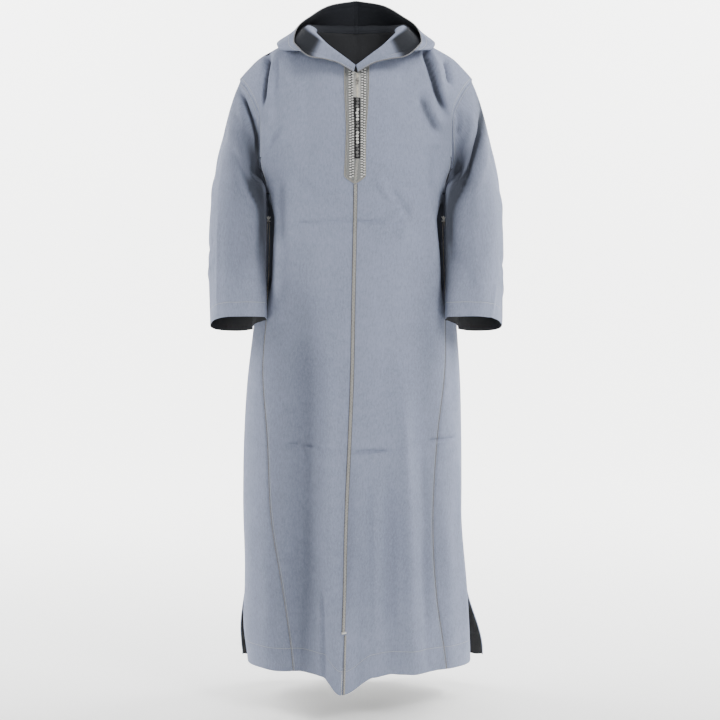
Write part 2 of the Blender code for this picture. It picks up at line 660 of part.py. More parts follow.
# ---- sleeves ------------------------------------------------------------
def armhole_loop(panels, word):
    """Points, normals and outward directions once round the armhole, from the shoulder tip.

    The loop runs down the front, under the arm and up the back.
    """
    edges = panels["edges_" + word]
    front, back = panels["front_" + word], panels["back_" + word]
    gore_front, gore_back = panels["gore_front_" + word], panels["gore_back_" + word]
    upper = slice(LOWER_ROWS, None)

    def chain(key):
        down = front[key][upper, -1][::-1]
        under_front, under_back = gore_front[key][-1], gore_back[key][-1]
        rise = back[key][upper, -1]
        return np.concatenate([down[:-1], under_front, under_back[1:], rise[1:-1]])

    directions = np.concatenate([edges["arm_front"][::-1][:-1], edges["arm_gore_front"],
                                 edges["arm_gore_back"][1:], edges["arm_back"][1:-1]])
    foot_front = UPPER_ROWS
    foot_back = UPPER_ROWS + 2 * GORE_COLUMNS
    directions[foot_front] = unit(edges["arm_front"][0] + edges["arm_gore_front"][0])
    directions[foot_back] = unit(edges["arm_back"][0] + edges["arm_gore_back"][-1])
    directions[0] = unit(edges["arm_front"][-1] + edges["arm_back"][-1])
    return chain("outer"), chain("normal"), directions


def loop_angles(points):
    """An angle for each loop point, by its share of the way round; pi lies under the arm."""
    step = np.linalg.norm(np.roll(points, -1, 0) - points, axis=1)
    walked = np.concatenate([[0], np.cumsum(step)])
    under = UPPER_ROWS + GORE_COLUMNS
    first = walked[:under + 1] / walked[under] * math.pi
    rest = math.pi + (walked[under + 1:-1] - walked[under]) / (walked[-1] - walked[under]) * math.pi
    return np.concatenate([first, rest])


def sleeve_ring(side, s, angle):
    """A point of the sleeve: s runs from the armhole (0) to the cuff (1)."""
    keys = np.linspace(0, 1, len(SLEEVE))
    ring = {name: through(keys, column(SLEEVE, name), s) for name in SleeveRing._fields}
    cos = power(np.cos(angle), 2 / SLEEVE_SQUARENESS)
    sin = power(np.sin(angle), 2 / SLEEVE_SQUARENESS)
    x = (ring["outer_x"] + ring["inner_x"]) / 2 + (ring["outer_x"] - ring["inner_x"]) / 2 * cos
    z = (ring["outer_z"] + ring["inner_z"]) / 2 + (ring["outer_z"] - ring["inner_z"]) / 2 * cos
    y = ring["mid_y"] - ring["depth"] * sin
    x = x - ring["skew"] * ring["depth"] * sin
    z = z + ring["lift"] * sin
    return np.stack([side * x, y, z], -1)


def sleeve_surface(side, s, angle, loop, loop_angle):
    """The sleeve's sections, eased from the armhole's own curve, kept clear of the skirt."""
    order = np.argsort(loop_angle)
    keys = np.concatenate([loop_angle[order], [2 * math.pi]])
    at = np.mod(angle, 2 * math.pi)
    start = np.stack([np.interp(at, keys, np.append(loop[order, axis], loop[order[0], axis]))
                      for axis in range(3)], -1)
    offset = start - sleeve_ring(side, np.zeros_like(s), angle)
    point = sleeve_ring(side, s, angle) + offset * (1 - ease(s / 0.45))[..., None]
    x, y, z = side * point[..., 0], point[..., 1], point[..., 2]
    inner = ease((0.30 - np.cos(angle)) / 0.6)
    elbow = ELBOW_FOLD_DEPTH * np.exp(-((z - ELBOW_FOLD_Z) / ELBOW_FOLD_WIDTH) ** 2)
    x = x + elbow * inner
    level = np.minimum(z, ARMPIT_Z)
    depth = np.where(y < 0, section_depth(True, level), section_depth(False, level))
    reach = np.clip(1 - np.abs(y / depth) ** SQUARENESS, 0, 1) ** (1 / SQUARENESS)
    limit = half_width(side, level) * reach + SLEEVE_CLEARANCE
    below = ease(s / 0.12) * ease((ARMPIT_Z + 0.02 - z) / 0.02)
    x = x + np.maximum(limit - x, 0) * below
    around = ease((TUCK_START - np.cos(angle)) / TUCK_LENGTH) * ease(np.sin(angle) / TUCK_FRONT)
    tuck = SLEEVE_TUCK * around * ease((ARMPIT_Z - z) / TUCK_FALL)
    x = x - tuck * np.maximum(x - np.maximum(limit, SLEEVE_TUCK_X), 0)
    return np.stack([side * x, y, z], -1)


def make_sleeve(panels, word):
    side = RIGHT if word == "right" else LEFT
    loop, loop_normals, directions = armhole_loop(panels, word)
    angles = loop_angles(loop)
    s = np.linspace(0, 1, SLEEVE_RINGS + 1) ** 1.12
    grid_angle, grid_s = np.meshgrid(angles, s)

    def surface(a, b):
        return sleeve_surface(side, b, a, loop, angles)

    outer = surface(grid_angle, grid_s)
    axis = outer.mean(1, keepdims=True)
    inside = np.clip(grid_s, 2 * STEP, 1 - 2 * STEP)
    normal = normals_of(surface, grid_angle, inside, outer - axis)
    smooth = normal + 0.5 * (np.roll(normal, 1, 1) + np.roll(normal, -1, 1))
    normal = unit(smooth)
    outer[0], normal[0] = loop, loop_normals
    shift = np.zeros_like(outer)
    shift[0] = directions * SEAM_GAP / 2
    add_panel("sleeve_" + word, {"outer": outer, "normal": normal, "shift": shift}, closed=True)


# ---- hood ---------------------------------------------------------------
def smooth_path(stops, places, w):
    """Points on a smooth path through the stops, which each column reaches at the given places.

    Cubic Hermite pieces; each knot lies the square root of a chord beyond the last.
    """
    chords = [np.linalg.norm(after - before, axis=-1) for before, after in zip(stops, stops[1:])]
    widths = [np.sqrt(chord)[..., None] for chord in chords]
    rates = [(after - before) / width for before, after, width in zip(stops, stops[1:], widths)]
    slopes = [rates[0]]
    for before, after, left, right in zip(widths, widths[1:], rates, rates[1:]):
        slopes.append((after * left + before * right) / (before + after))
    slopes.append(rates[-1])
    point = np.zeros_like(stops[0])
    for k, width in enumerate(widths):
        part = ((w - places[k]) / (places[k + 1] - places[k]))[..., None]
        inside = (part >= 0) & ((part < 1) | (k == len(widths) - 1))
        square, cube = part ** 2, part ** 3
        piece = ((2 * cube - 3 * square + 1) * stops[k] + (cube - 2 * square + part) * width * slopes[k]
                 + (3 * square - 2 * cube) * stops[k + 1] + (cube - square) * width * slopes[k + 1])
        point = np.where(inside, piece, point)
    return point


HOOD_STOPS = [0.0, 0.10, 0.20, 0.38, 0.52, 0.60, 0.80, 1.0]
HOOD_ROWS = [0.0, 0.10, 0.20, 0.29, 0.38, 0.45, 0.52, 0.60, 0.70, 0.80, 0.90, 1.0]


def hood_surface(side, u, w, neck_u, neck_direction):
    """A point of the hood: w runs from the neckline (0) over the turned fold to the rim (1).

    The cloth first rises straight on from the neckline, then turns over and lies outwards.
    """
    keys = column(HOOD, "u")
    row = {name: through(keys, column(HOOD, name), u) for name in HoodRow._fields if name != "u"}
    fold_line = [through(keys, column(HOOD, "fold_" + axis), u + HOOD_TANGENT_STEP)
                 - through(keys, column(HOOD, "fold_" + axis), u - HOOD_TANGENT_STEP) for axis in "xyz"]
    tangent = unit(np.stack([side * fold_line[0], fold_line[1], fold_line[2]], -1))
    start = neckline(side, u)
    onward = np.stack([np.interp(u, neck_u, neck_direction[:, axis]) for axis in range(3)], -1)
    rise = unit(unit(onward) + np.array([0.0, 0.0, 0.9]))
    fold = np.stack([side * row["fold_x"], row["fold_y"], row["fold_z"]], -1)
    lean = HOOD_LEAN * np.sin(math.pi * np.clip(u, 0, 1)) ** 2
    rim = np.stack([side * row["rim_x"] + lean, row["rim_y"], row["rim_z"]], -1)
    back = ease((u - 0.55) / 0.45)
    lifted = unit(np.stack([side * (1 - back), 0.3 + 0.7 * back, 0.9 - 0.5 * back], -1))
    bulged = unit(lifted + np.array([0.0, 0.0, 0.4]))
    away = unit(start * np.array([1.0, 1.0, 0.0]))
    turn = start + HOOD_STAND * rise
    room = np.minimum(0.4 * np.linalg.norm(fold - start, axis=-1), HOOD_CREST)[..., None]
    crest = turn + room * (away + np.array([0.0, 0.0, 0.55]))
    under = (crest + fold) / 2 + row["under"][..., None] * lifted
    over = (fold + rim) / 2 + row["over"][..., None] * bulged
    inwards = unit(under - fold) + unit(over - fold)
    folded = ease((np.linalg.norm(inwards, axis=-1) - 0.5) / 0.8)[..., None]
    thick = unit(np.cross(inwards, tangent))
    thick = np.where(np.sum(thick * away, -1, keepdims=True) < 0, -thick, thick)
    radius = np.minimum(HOOD_FOLD_SHARE * np.linalg.norm(rim - fold, axis=-1), HOOD_FOLD_RADIUS)
    across = radius[..., None] * unit(folded * thick + (1 - folded) * unit(over - under))
    stops = [start, turn, crest, under, fold - across, fold + across, over, rim]
    return smooth_path(stops, HOOD_STOPS, w)


def make_hood(panels, word):
    """Half of the hood; its neck edge is the same row of points as the neckline's."""
    side = RIGHT if word == "right" else LEFT
    edges = panels["edges_" + word]
    front, back = panels["front_" + word], panels["back_" + word]

    def neck(key):
        forward = front[key][-1, :NECK_COLUMNS_FRONT + 1]
        behind = back[key][-1, :NECK_COLUMNS_BACK + 1][::-1]
        return np.concatenate([forward, behind[1:]])

    direction = np.concatenate([edges["neck_front"], edges["neck_back"][::-1][1:]])
    direction[-1, 0] = 0
    u_front = np.linspace(0, NECK_SIDE_U, NECK_COLUMNS_FRONT + 1)
    u_back = np.linspace(NECK_SIDE_U, 1, NECK_COLUMNS_BACK + 1)
    u_neck = np.concatenate([u_front, u_back[1:]])
    # a column at each point of the neckline and one half way between
    u = np.interp(np.arange(2 * len(u_neck) - 1) / 2, np.arange(len(u_neck)), u_neck)

    def between(values):
        return np.stack([np.interp(u, u_neck, values[:, axis]) for axis in range(3)], -1)

    start, start_normal, direction = (between(rows) for rows in
                                      (neck("outer"), neck("normal"), direction))
    grid_u, grid_w = np.meshgrid(u, HOOD_ROWS)

    def surface(a, b):
        return hood_surface(side, a, b, u, direction)

    outer = surface(grid_u, grid_w)
    inside_u = np.clip(grid_u, 2 * STEP, 1 - 2 * STEP)
    inside_w = np.clip(grid_w, 2 * STEP, 1 - 2 * STEP)
    along_u = surface(inside_u + STEP, inside_w) - surface(inside_u - STEP, inside_w)
    along_w = surface(inside_u, inside_w + STEP) - surface(inside_u, inside_w - STEP)
    normal = unit(np.cross(along_u, along_w)) * side
    normal[:, -1, 0] = 0
    normal = unit(normal)
    outer[0], normal[0] = start, start_normal
    outer[:, -1, 0] = 0
    panel = {"outer": outer, "normal": normal, "shift": np.zeros_like(outer)}
    panel["shift"][0] += direction * SEAM_GAP / 2
    panel["shift"][:, -1, 0] += side * SEAM_GAP / 2
    add_panel("hood_" + word, panel)
    return panel


# ---- trims that lie on the cloth ----------------------------------------
FRONT_OF_ROBE = -0.6       # where the search for the cloth's front starts
SEAM_REACH = 0.005         # how far to each side of an open seam the cloth is looked for


class Cloth:
    """The finished panels as one surface that trims are laid on."""

    def __init__(self, names):
        points, faces = [], []
        for name in names:
            mesh = bpy.data.objects[name].data
            first = len(points)
            points += [vertex.co.copy() for vertex in mesh.vertices]
            faces += [[first + corner for corner in face.vertices] for face in mesh.polygons]
        self.tree = BVHTree.FromPolygons(points, faces)

    def at(self, x, z):
        """The outer surface at (x, z), seen from the front, and its normal.

        In an open seam the mean of the two sides is taken.
        """
        sides = (0.0,) if self.hit(x, z) else (-SEAM_REACH, SEAM_REACH)
        found = [self.hit(x + side, z) for side in sides]
        found = [place for place in found if place]
        y = sum(place[0] for place in found) / len(found)
        normal = sum((place[1] for place in found), Vector()).normalized()
        return Vector((x, y, z)), normal

    def hit(self, x, z):
        place, normal, _, _ = self.tree.ray_cast(Vector((x, FRONT_OF_ROBE, z)), Vector((0, 1, 0)))
        return (place.y, normal) if place else None


def strip_mesh(name, cloth, rows, lift, height):
    """A flat trim laid on the cloth.

    rows holds a list of (x, z) for each row. Its underside follows the cloth at the lift;
    height gives how far the upper side stands above that, for a row and a column.
    """
    under, upper = [], []
    for k, row in enumerate(rows):
        places = [cloth.at(x, z) for x, z in row]
        under.append([tuple(point + lift * normal) for point, normal in places])
        upper.append([tuple(point + (lift + height(k, j)) * normal)
                      for j, (point, normal) in enumerate(places)])
    return wall_mesh(name, np.array(upper), np.array(under))


def add_tube(name, path, radius, colour, roughness=0.8, cyclic=False):
    """A round cord along a path, with closed ends."""
    curve = bpy.data.curves.new(name, "CURVE")
    curve.dimensions = "3D"
    spline = curve.splines.new("POLY")
    spline.points.add(len(path) - 1)
    for point, place in zip(spline.points, path):
        point.co = (*place, 1.0)
    spline.use_cyclic_u = cyclic
    curve.bevel_depth = radius
    curve.bevel_resolution = 2
    curve.use_fill_caps = True
    return add_object(name, curve, colour, roughness)


def outline_x(name, z):
    return float(through(column(PLACKET, "z"), column(PLACKET, name), z))


def heights(top, bottom, step):
    """Heights from top to bottom, about a step apart."""
    return np.linspace(top, bottom, max(2, int(round((top - bottom) / step)) + 1))


def placket_top(x):
    """Height of the placket's upper end at x: it runs along the neckline."""
    beside = max(abs(x), NECKLINE[0].x)
    edge = through(column(NECKLINE[:3], "x"), column(NECKLINE[:3], "z"), beside)
    return float(edge) - NECK_MARGIN


def placket_cord_side(name):
    """The outline of the placket down one side, from its upper end."""
    top = placket_top(getattr(PLACKET[0], name))
    return [(outline_x(name, z), z) for z in heights(top, PLACKET[-1].z, PLACKET_STEP)]


def make_placket(cloth):
    """Two ribbed strips beside the zip, and the cord round them that ends in a point."""
    inner = TAPE_HALF + 2 * TRIM_LIFT
    beside = CORD_RADIUS + TRIM_LIFT
    for word, side in (("right", RIGHT), ("left", LEFT)):
        rows = []
        for part in np.linspace(0, 1, len(placket_cord_side(word))):
            row = []
            for share in PLACKET_RIB_PLACES:
                start = ZIP_X + side * inner
                top = placket_top(start + (outline_x(word, PLACKET[0].z) - start) * share)
                z = top + (PLACKET[-1].z - top) * part
                row.append((start + (outline_x(word, z) - side * beside - start) * share, z))
            rows.append(row)
        mesh = strip_mesh("placket_" + word, cloth, rows, 2 * TRIM_LIFT,
                          lambda k, j: PLACKET_BASE + PLACKET_RIB * PLACKET_RIB_HEIGHTS[j])
        add_object("placket_" + word, mesh, BRAID, 0.8)
    bends = [(PLACKET_POINT[0] + side * POINT_SHOULDER_X, POINT_SHOULDER_Z) for side in (RIGHT, LEFT)]
    middle = [bends[0], PLACKET_POINT, bends[1]]
    path = []
    for x, z in placket_cord_side("right") + middle + placket_cord_side("left")[::-1]:
        point, normal = cloth.at(x, z)
        path.append(point + (CORD_RADIUS + 2 * TRIM_LIFT) * normal)
    add_tube("placket_cord", path, CORD_RADIUS, BRAID)


def make_tapes(cloth):
    """The zip's tape and, below it, the dark tape with its row of knots."""
    rows = [[(ZIP_X + TAPE_HALF * part, z) for part in ACROSS]
            for z in heights(ZIP_TOP_Z, ZIP_BOTTOM_Z, TAPE_STEP)]
    mesh = strip_mesh("zip_tape", cloth, rows, 2 * TRIM_LIFT, lambda k, j: ZIP_TAPE_THICKNESS)
    add_object("zip_tape", mesh, BRAID, 0.8)
    rows = [[(ZIP_X + TAPE_HALF * part, z) for part in KNOT_PLACES]
            for z in np.linspace(KNOT_TAPE_TOP_Z, KNOT_TAPE_BOTTOM_Z, 2 * KNOT_COUNT + 1)]
    mesh = strip_mesh("knot_tape", cloth, rows, 2 * TRIM_LIFT,
                      lambda k, j: KNOT_TAPE_THICKNESS + KNOT_HEIGHT * KNOT_SHAPE[j] * (k % 2))
    add_object("knot_tape", mesh, DARK, 0.8)


def centre_x(z):
    return float(through(column(SEAMS, "z"), column(SEAMS, "centre"), z))


def make_centre_braid(cloth):
    """The braid down the centre seam, from the placket's point to the slit."""
    bottom = SLIT_TOP_Z + TRIM_LIFT
    rows = []
    for z in heights(BRAID_TOP_Z, bottom, BRAID_STEP):
        part = (BRAID_TOP_Z - z) / (BRAID_TOP_Z - bottom)
        half = BRAID_HALF_TOP + (BRAID_HALF_BOTTOM - BRAID_HALF_TOP) * part
        rows.append([(centre_x(z) + half * place, z) for place in ACROSS])
    mesh = strip_mesh("centre_braid", cloth, rows, 3 * TRIM_LIFT,
                      lambda k, j: BRAID_THICKNESS * BRAID_SHAPE[j])
    add_object("centre_braid", mesh, BRAID, 0.8)


def make_slit_braid(cloth, panel):
    """Follows the panel's own edge below the top of the slit, down to the hem."""
    edge = panel["outer"][:, 0] + panel["shift"][:, 0]
    order = np.argsort(edge[:, 2])
    lowest = float(edge[order[0], 2])
    rows = []
    for z in heights(SLIT_TOP_Z - TRIM_LIFT, lowest + SLIT_BRAID_END, SLIT_BRAID_STEP):
        x = float(np.interp(z, edge[order, 2], edge[order, 0]))
        rows.append([(x + SLIT_BRAID_INSET + SLIT_BRAID_WIDTH * part, z) for part in (0.0, 0.5, 1.0)])
    mesh = strip_mesh("slit_braid", cloth, rows, 2 * TRIM_LIFT,
                      lambda k, j: BRAID_THICKNESS * BRAID_SHAPE[j])
    add_object("slit_braid", mesh, BRAID, 0.8)


def make_pocket_piping(cloth, word):
    """A narrow loop of cord round the pocket slit in the seam between front and gore."""
    side = RIGHT if word == "right" else LEFT
    place = column(SEAMS, "left" if side == RIGHT else "right")
    level = heights(POCKET_TOP_Z, POCKET_BOTTOM_Z, POCKET_STEP)
    seam = side * through(column(SEAMS, "z"), place, level)
    shape = np.sin(np.linspace(0.0, math.pi, len(level))) ** POCKET_ROUNDING
    path = []
    for direction, order in ((-1, 1), (1, -1)):
        for k in range(len(level))[1:-1][::order]:
            x = seam[k] + direction * POCKET_HALF_WIDTH * shape[k]
            point, normal = cloth.at(x, level[k])
            path.append(point + (CORD_RADIUS + 2 * TRIM_LIFT) * normal)
    add_tube("pocket_piping_" + word, path, CORD_RADIUS, BRAID, cyclic=True)


def make_hood_cord(hoods):
    """A cord along the free edge of the hood, from one side of the V to the other."""
    halves = {}
    for word, hood in hoods.items():
        rim = hood["outer"][-1] + hood["shift"][-1]
        before = hood["outer"][-2] + hood["shift"][-2]
        middle = rim - hood["normal"][-1] * WALL / 2
        along = unit(np.gradient(rim, axis=0))
        beyond = rim - before
        beyond = unit(beyond - along * np.sum(along * beyond, -1, keepdims=True))
        halves[word] = middle + beyond * (HOOD_CORD_RADIUS + 3 * TRIM_LIFT)
    path = np.concatenate([halves["right"], halves["left"][::-1][1:]])
    path[len(halves["right"]) - 1, 0] = 0.0
    add_tube("hood_cord", [Vector(point) for point in path.tolist()], HOOD_CORD_RADIUS, BRAID)


# ---- zip slider and pull ------------------------------------------------
def plate(work, x_range, y_range, z_range):
    """A box between the given limits, added to a bmesh."""
    made = bmesh.ops.create_cube(work, size=1.0)["verts"]
    for vertex in made:
        for axis, (low, high) in enumerate((x_range, y_range, z_range)):
            vertex.co[axis] = low if vertex.co[axis] < 0 else high


def solid_from(name, boxes, colour, roughness, metallic, place):
    """One solid made by joining boxes with Boolean unions."""
    things = []
    for k, box in enumerate(boxes):
        mesh = bpy.data.meshes.new(name + "_box")
        work = bmesh.new()
        plate(work, *box)
        work.to_mesh(mesh)
        work.free()
        things.append(bpy.data.objects.new(f"{name}_box_{k}", mesh))
    first = add_object(name, things[0].data, colour, roughness, metallic)
    bpy.data.objects.remove(things[0])
    first.matrix_world = place
    for tool in things[1:]:
        CUTTERS.objects.link(tool)
        tool.matrix_world = place
        tool.hide_render = True
        tool.display_type = "WIRE"
        join = first.modifiers.new("join", "BOOLEAN")
        join.operation = "UNION"
        join.solver = "EXACT"
        join.object = tool
    return first


def make_zip(cloth):
    """The slider on the tape and the pull that turns under the slider's bridge.

    Both are drawn with X across, Y out of the cloth and Z up the zip.
    """
    point, normal = cloth.at(ZIP_X, SLIDER_Z)
    across = Vector((1, 0, 0))
    out = (normal - across * normal.dot(across)).normalized()
    up = across.cross(-out)
    base = point + out * (3 * TRIM_LIFT + ZIP_TAPE_THICKNESS)
    place = Matrix.Translation(base) @ Matrix((across, out, up)).transposed().to_4x4()
    half = SLIDER_WIDTH / 2
    ends = (BRIDGE_HALF_LENGTH - BRIDGE_BAR, BRIDGE_HALF_LENGTH)
    bridge_x = (-BRIDGE_WIDTH / 2, BRIDGE_WIDTH / 2)
    bridge_y = (SLIDER_THICKNESS / 2, SLIDER_THICKNESS + BRIDGE_HEIGHT)
    boxes = [
        ((-half, half), (0, SLIDER_THICKNESS), (-SLIDER_LENGTH / 2, SLIDER_LENGTH / 2)),
        (bridge_x, bridge_y, ends),
        (bridge_x, bridge_y, (-ends[1], -ends[0])),
        (bridge_x, (SLIDER_THICKNESS + BRIDGE_HEIGHT - BRIDGE_BAR, SLIDER_THICKNESS + BRIDGE_HEIGHT),
         (-ends[1], ends[1])),
    ]
    solid_from("zip_slider", boxes, METAL, 0.35, 1.0, place)
    axis_out = SLIDER_THICKNESS + (BRIDGE_HEIGHT - BRIDGE_BAR) / 2
    hinge = place @ Matrix.Translation((0, axis_out, 0))
    bar = PULL_BAR / 2
    eye = PULL_EYE_HALF_WIDTH
    edge = PULL_WIDTH / 2
    pull = [
        ((-edge, edge), (-bar, bar), (-bar, bar)),
        ((-edge, -eye), (-bar, bar), (-PULL_EYE, bar)),
        ((eye, edge), (-bar, bar), (-PULL_EYE, bar)),
        ((-edge, edge), (-bar, bar), (-PULL_LENGTH, -PULL_EYE)),
    ]
    solid_from("zip_pull", pull, METAL, 0.35, 1.0, hinge)
    return hinge.translation


# ---- the scene ----------------------------------------------------------
def clear_scene():
    for thing in list(bpy.data.objects):
        bpy.data.objects.remove(thing, do_unlink=True)


clear_scene()
ROBE = bpy.data.collections.new("Hooded robe")
CUTTERS = bpy.data.collections.new("Joined shapes")
bpy.context.scene.collection.children.link(ROBE)
bpy.context.scene.collection.children.link(CUTTERS)

robe = open_seams(make_panels())
hood_halves = {}
for word in ("right", "left"):
    add_panel("front_" + word, robe["front_" + word])
    add_panel("gore_front_" + word, robe["gore_front_" + word])
    add_panel("gore_back_" + word, robe["gore_back_" + word])
    make_sleeve(robe, word)
    hood_halves[word] = make_hood(robe, word)
add_panel("back", join_backs(robe))

laid_on = Cloth(["front_right", "front_left", "gore_front_right", "gore_front_left"])
make_placket(laid_on)
make_tapes(laid_on)
make_centre_braid(laid_on)
make_slit_braid(Cloth(["front_left"]), robe["front_left"])
make_pocket_piping(laid_on, "right")
make_pocket_piping(laid_on, "left")
make_hood_cord(hood_halves)
make_zip(laid_on)
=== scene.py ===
"""Hooded robe: its cloth, trims, finishes and stage, laid out as an add-on.

Metres, +Z up, front towards -Y, the wearer's left towards +X. The origin is the middle
of the base of the neck. The cloth is a set of thin shells worked out on fine grids;
creases are laid on them as soft troughs and ridges.
"""

import math
from functools import cache

import bmesh
import bpy
import numpy as np
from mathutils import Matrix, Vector


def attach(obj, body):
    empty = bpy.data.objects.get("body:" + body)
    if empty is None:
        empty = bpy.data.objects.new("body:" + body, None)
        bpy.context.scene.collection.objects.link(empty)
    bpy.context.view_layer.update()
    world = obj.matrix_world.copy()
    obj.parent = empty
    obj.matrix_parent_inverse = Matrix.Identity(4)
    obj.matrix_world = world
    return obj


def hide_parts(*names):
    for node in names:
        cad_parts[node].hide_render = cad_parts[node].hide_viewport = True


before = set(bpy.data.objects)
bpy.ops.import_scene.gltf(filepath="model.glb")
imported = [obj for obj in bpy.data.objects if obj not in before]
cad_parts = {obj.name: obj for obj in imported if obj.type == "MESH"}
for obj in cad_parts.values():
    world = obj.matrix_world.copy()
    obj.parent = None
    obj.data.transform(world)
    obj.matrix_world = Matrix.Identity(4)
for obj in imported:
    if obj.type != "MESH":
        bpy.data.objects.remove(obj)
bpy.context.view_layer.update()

bl_info = {
    "name": "Hooded robe",
    "version": (1, 0, 0),
    "blender": (4, 5, 0),
    "location": "View3D > Sidebar > Robe",
    "description": "Builds the cloth, trims, finishes and stage of a hooded robe",
    "category": "Object",
}

RIGHT, LEFT = -1, 1
SIDES = ((RIGHT, "right"), (LEFT, "left"))


def table(columns, rows, plain=""):
    """Rows with named columns. Lengths are written in millimetres; plain columns have no unit."""
    names = columns.split()
    scale = [1.0 if name in plain.split() else 0.001 for name in names]
    return np.rec.fromarrays((np.array(rows, float) * scale).T, names=names)


def creases(rows):
    """A crease runs from (a0, z0) to (a1, z1). bow bends its middle sideways; skew turns it
    from a ridge or trough (0) towards a step (1). A negative depth goes into the cloth."""
    return table("a0 z0 a1 z1 bow width depth skew", rows, "skew")


def grooves(rows):
    """A groove has a width, a depth (a ridge where positive), a skew, and the stops (a, z) of
    the bent line that it follows."""
    return [(row[0] / 1000, row[1] / 1000, row[2], np.reshape(row[3:], (-1, 2)) / 1000) for row in rows]


def painted_shades(rows):
    """A painted shade has a width, a strength up to 1, and the stops of its bent line; it darkens the
    cloth's colour where shadow would fall.
    """
    return [(row[0] / 1000, row[1], 0.0, np.reshape(row[2:], (-1, 2)) / 1000) for row in rows]


# ---- form of the robe ----
ARMPIT_Z = -0.33  # height of the underarm
SQUARENESS = 2.3  # 2 would be an ellipse, more is boxier
SLIT_TOP_Z = -1.345  # where the centre front opens
SLIT_SPREAD = 0.0012  # half the width of the front slit at the hem
HEM_Z = -1.452
FRONT_TIP_DROP = 0.036  # how far the front tip hangs below the hem
FRONT_TIP_X = -0.03
FRONT_TIP_WIDTHS = (0.032, 0.05)  # towards the wearer's right, and left
FRONT_TIP_FLATNESS = 2.6
HEM_SIDE_DROP = 0.012  # the hem is this much lower at the side seams
HEM_BACK_DROP = 0.016  # and this much lower at the back
VENT_TOP_Z = -1.275  # where the side seams open
VENT_SPREAD = 0.006  # half the gap between the vent's edges at the hem
VENT_FLARE = {-1: 0.016, 1: 0.034}  # how far the back edge of the vent stands out
VENT_FLARE_BACK = 0.014
VENT_FLARE_ANGLE = 0.5  # how far round the back the flare reaches, in radians

# ---- sections and seams (one row for each height) ----
SECTIONS = table("z left right front back", [
    (-1600, 265, 284, 192, 176),
    (-1470, 266, 281, 188, 172),
    (-1370, 276, 277, 182, 166),
    (-1270, 272.5, 270, 176, 160),
    (-1120, 271, 256, 170, 154),
    (-920, 267, 252, 162, 148),
    (-780, 258, 248, 156, 144),
    (-620, 239, 237, 150, 138),
    (-450, 230, 230, 142, 130),
    (-330, 222, 222, 132, 124),
    (-200, 221, 221, 128, 118),
])

SEAMS = table("z centre left right back", [
    (-1600, -36, 150, 224, 175),
    (-1450, -33, 151, 218, 175),
    (-1270, -27, 173.5, 193, 172),
    (-1100, -23.5, 201, 184, 178),
    (-900, -14.5, 211, 194, 186),
    (-740, -8.5, 222, 212, 196),
    (-600, -6, 212, 213, 200),
    (-330, -1, 205, 205, 202),
    (-200, 0, 205, 205, 202),
])

# long soft folds of the skirt: a positive depth is a ridge, a negative one a trough
FRONT_FOLDS = table("x_top z_top x_bottom z_bottom width depth", [
    (-28, -1170, -34, -1500, 34, 34),
    (-118, -620, -132, -1450, 30, -19),
    (-64, -620, -62, -1420, 20, 10),
    (-212, -700, -203, -1450, 26, 8),
    (-12, -950, -14, -1400, 18, -7),
    (60, -880, 48, -1450, 18, 7),
    (85, -920, 83, -1450, 15, -8),
    (104, -660, 140, -1450, 22, 11),
    (178, -780, 195, -1450, 20, -6),
])
BACK_FOLDS = table("x_top z_top x_bottom z_bottom width depth", [
    (-130, -450, -150, -1500, 36, 10),
    (-50, -600, -60, -1500, 32, -10),
    (30, -500, 25, -1500, 36, 11),
    (105, -600, 120, -1500, 32, -10),
    (170, -450, 185, -1500, 30, 7),
])
FOLD_FADE = 0.16  # length over which a fold dies out at its top

# how the fronts and the back arch over the shoulders
ARCH_RISE = 0.9
ARCH_FULLNESS = 0.72
SHOULDER_Y = 0.004

# ---- neck, shoulder, armhole (the wearer's left half) ----
NECKLINE = table("u x y z", [
    (0, 4.2, -105.5, -47),
    (.15, 36, -96.5, -24),
    (.3, 66, -81.5, 0),
    (.45, 89.5, -54, 29),
    (.53, 95.5, -30, 42),
    (.6, 97, 4, 47),
    (.75, 85, 52, 55),
    (.9, 45, 80, 56),
    (1, 0, 88, 56),
], "u")
NECK_SIDE_U = 0.6  # where the shoulder seam meets the neckline

SHOULDER = table("x z", [
    (97, 47),
    (140, 34),
    (190, 11),
    (231.5, -13),
    (257.7, -38.5),
    (277, -60),
])

ARMHOLE = table("w x y_front y_back z", [
    (.2, 221.5, -74, 80, -272),
    (.45, 222.5, -86, 92, -196),
    (.65, 227, -80, 88, -140),
    (.84, 252, -48, 54, -90),
    (1, 277, 0, 0, -60),
], "w")

# sleeve sections, from the armhole to the cuff: its innermost and outermost points
SLEEVE = table("inner_x inner_z outer_x outer_z mid_y depth lift skew", [
    (222, -330, 277, -60, 0, 88, 0, 0),
    (228, -315, 289, -90, 0, 90, 0, .03),
    (236.5, -319, 300, -127, 0, 91, 0, .08),
    (236, -342, 312, -180, -5, 90, 2, .16),
    (232, -376, 326, -255, -10, 88, 4, .26),
    (229, -424, 340, -350, -15, 86, 8, .32),
    (229, -485, 345.5, -450, -22, 85, 12, .34),
    (232, -555, 345.5, -545, -34, 84, 18, .3),
    (226, -638, 345.5, -636, -47, 83, 24, .2),
], "skew")
SLEEVE_SQUARENESS = 2.5
SLEEVE_CLEARANCE = 0.006  # space kept to the side of the skirt
SLEEVE_TUCK = 0.85  # the front of the sleeve is drawn in towards the skirt by this share
SLEEVE_TUCK_X = 0.205  # and not past this distance from the middle
TUCK_START = 0.25  # cosine of the angle where the tuck begins
TUCK_LENGTH = 0.6
TUCK_FRONT = 0.5  # sine of the angle where it is full
TUCK_RISE = 0.06  # how far above the underarm it begins
TUCK_FALL = 0.05  # and how far below that it is full
ELBOW_FOLD_Z = -0.52
ELBOW_FOLD_DEPTH = 0.007
ELBOW_FOLD_WIDTH = 0.03

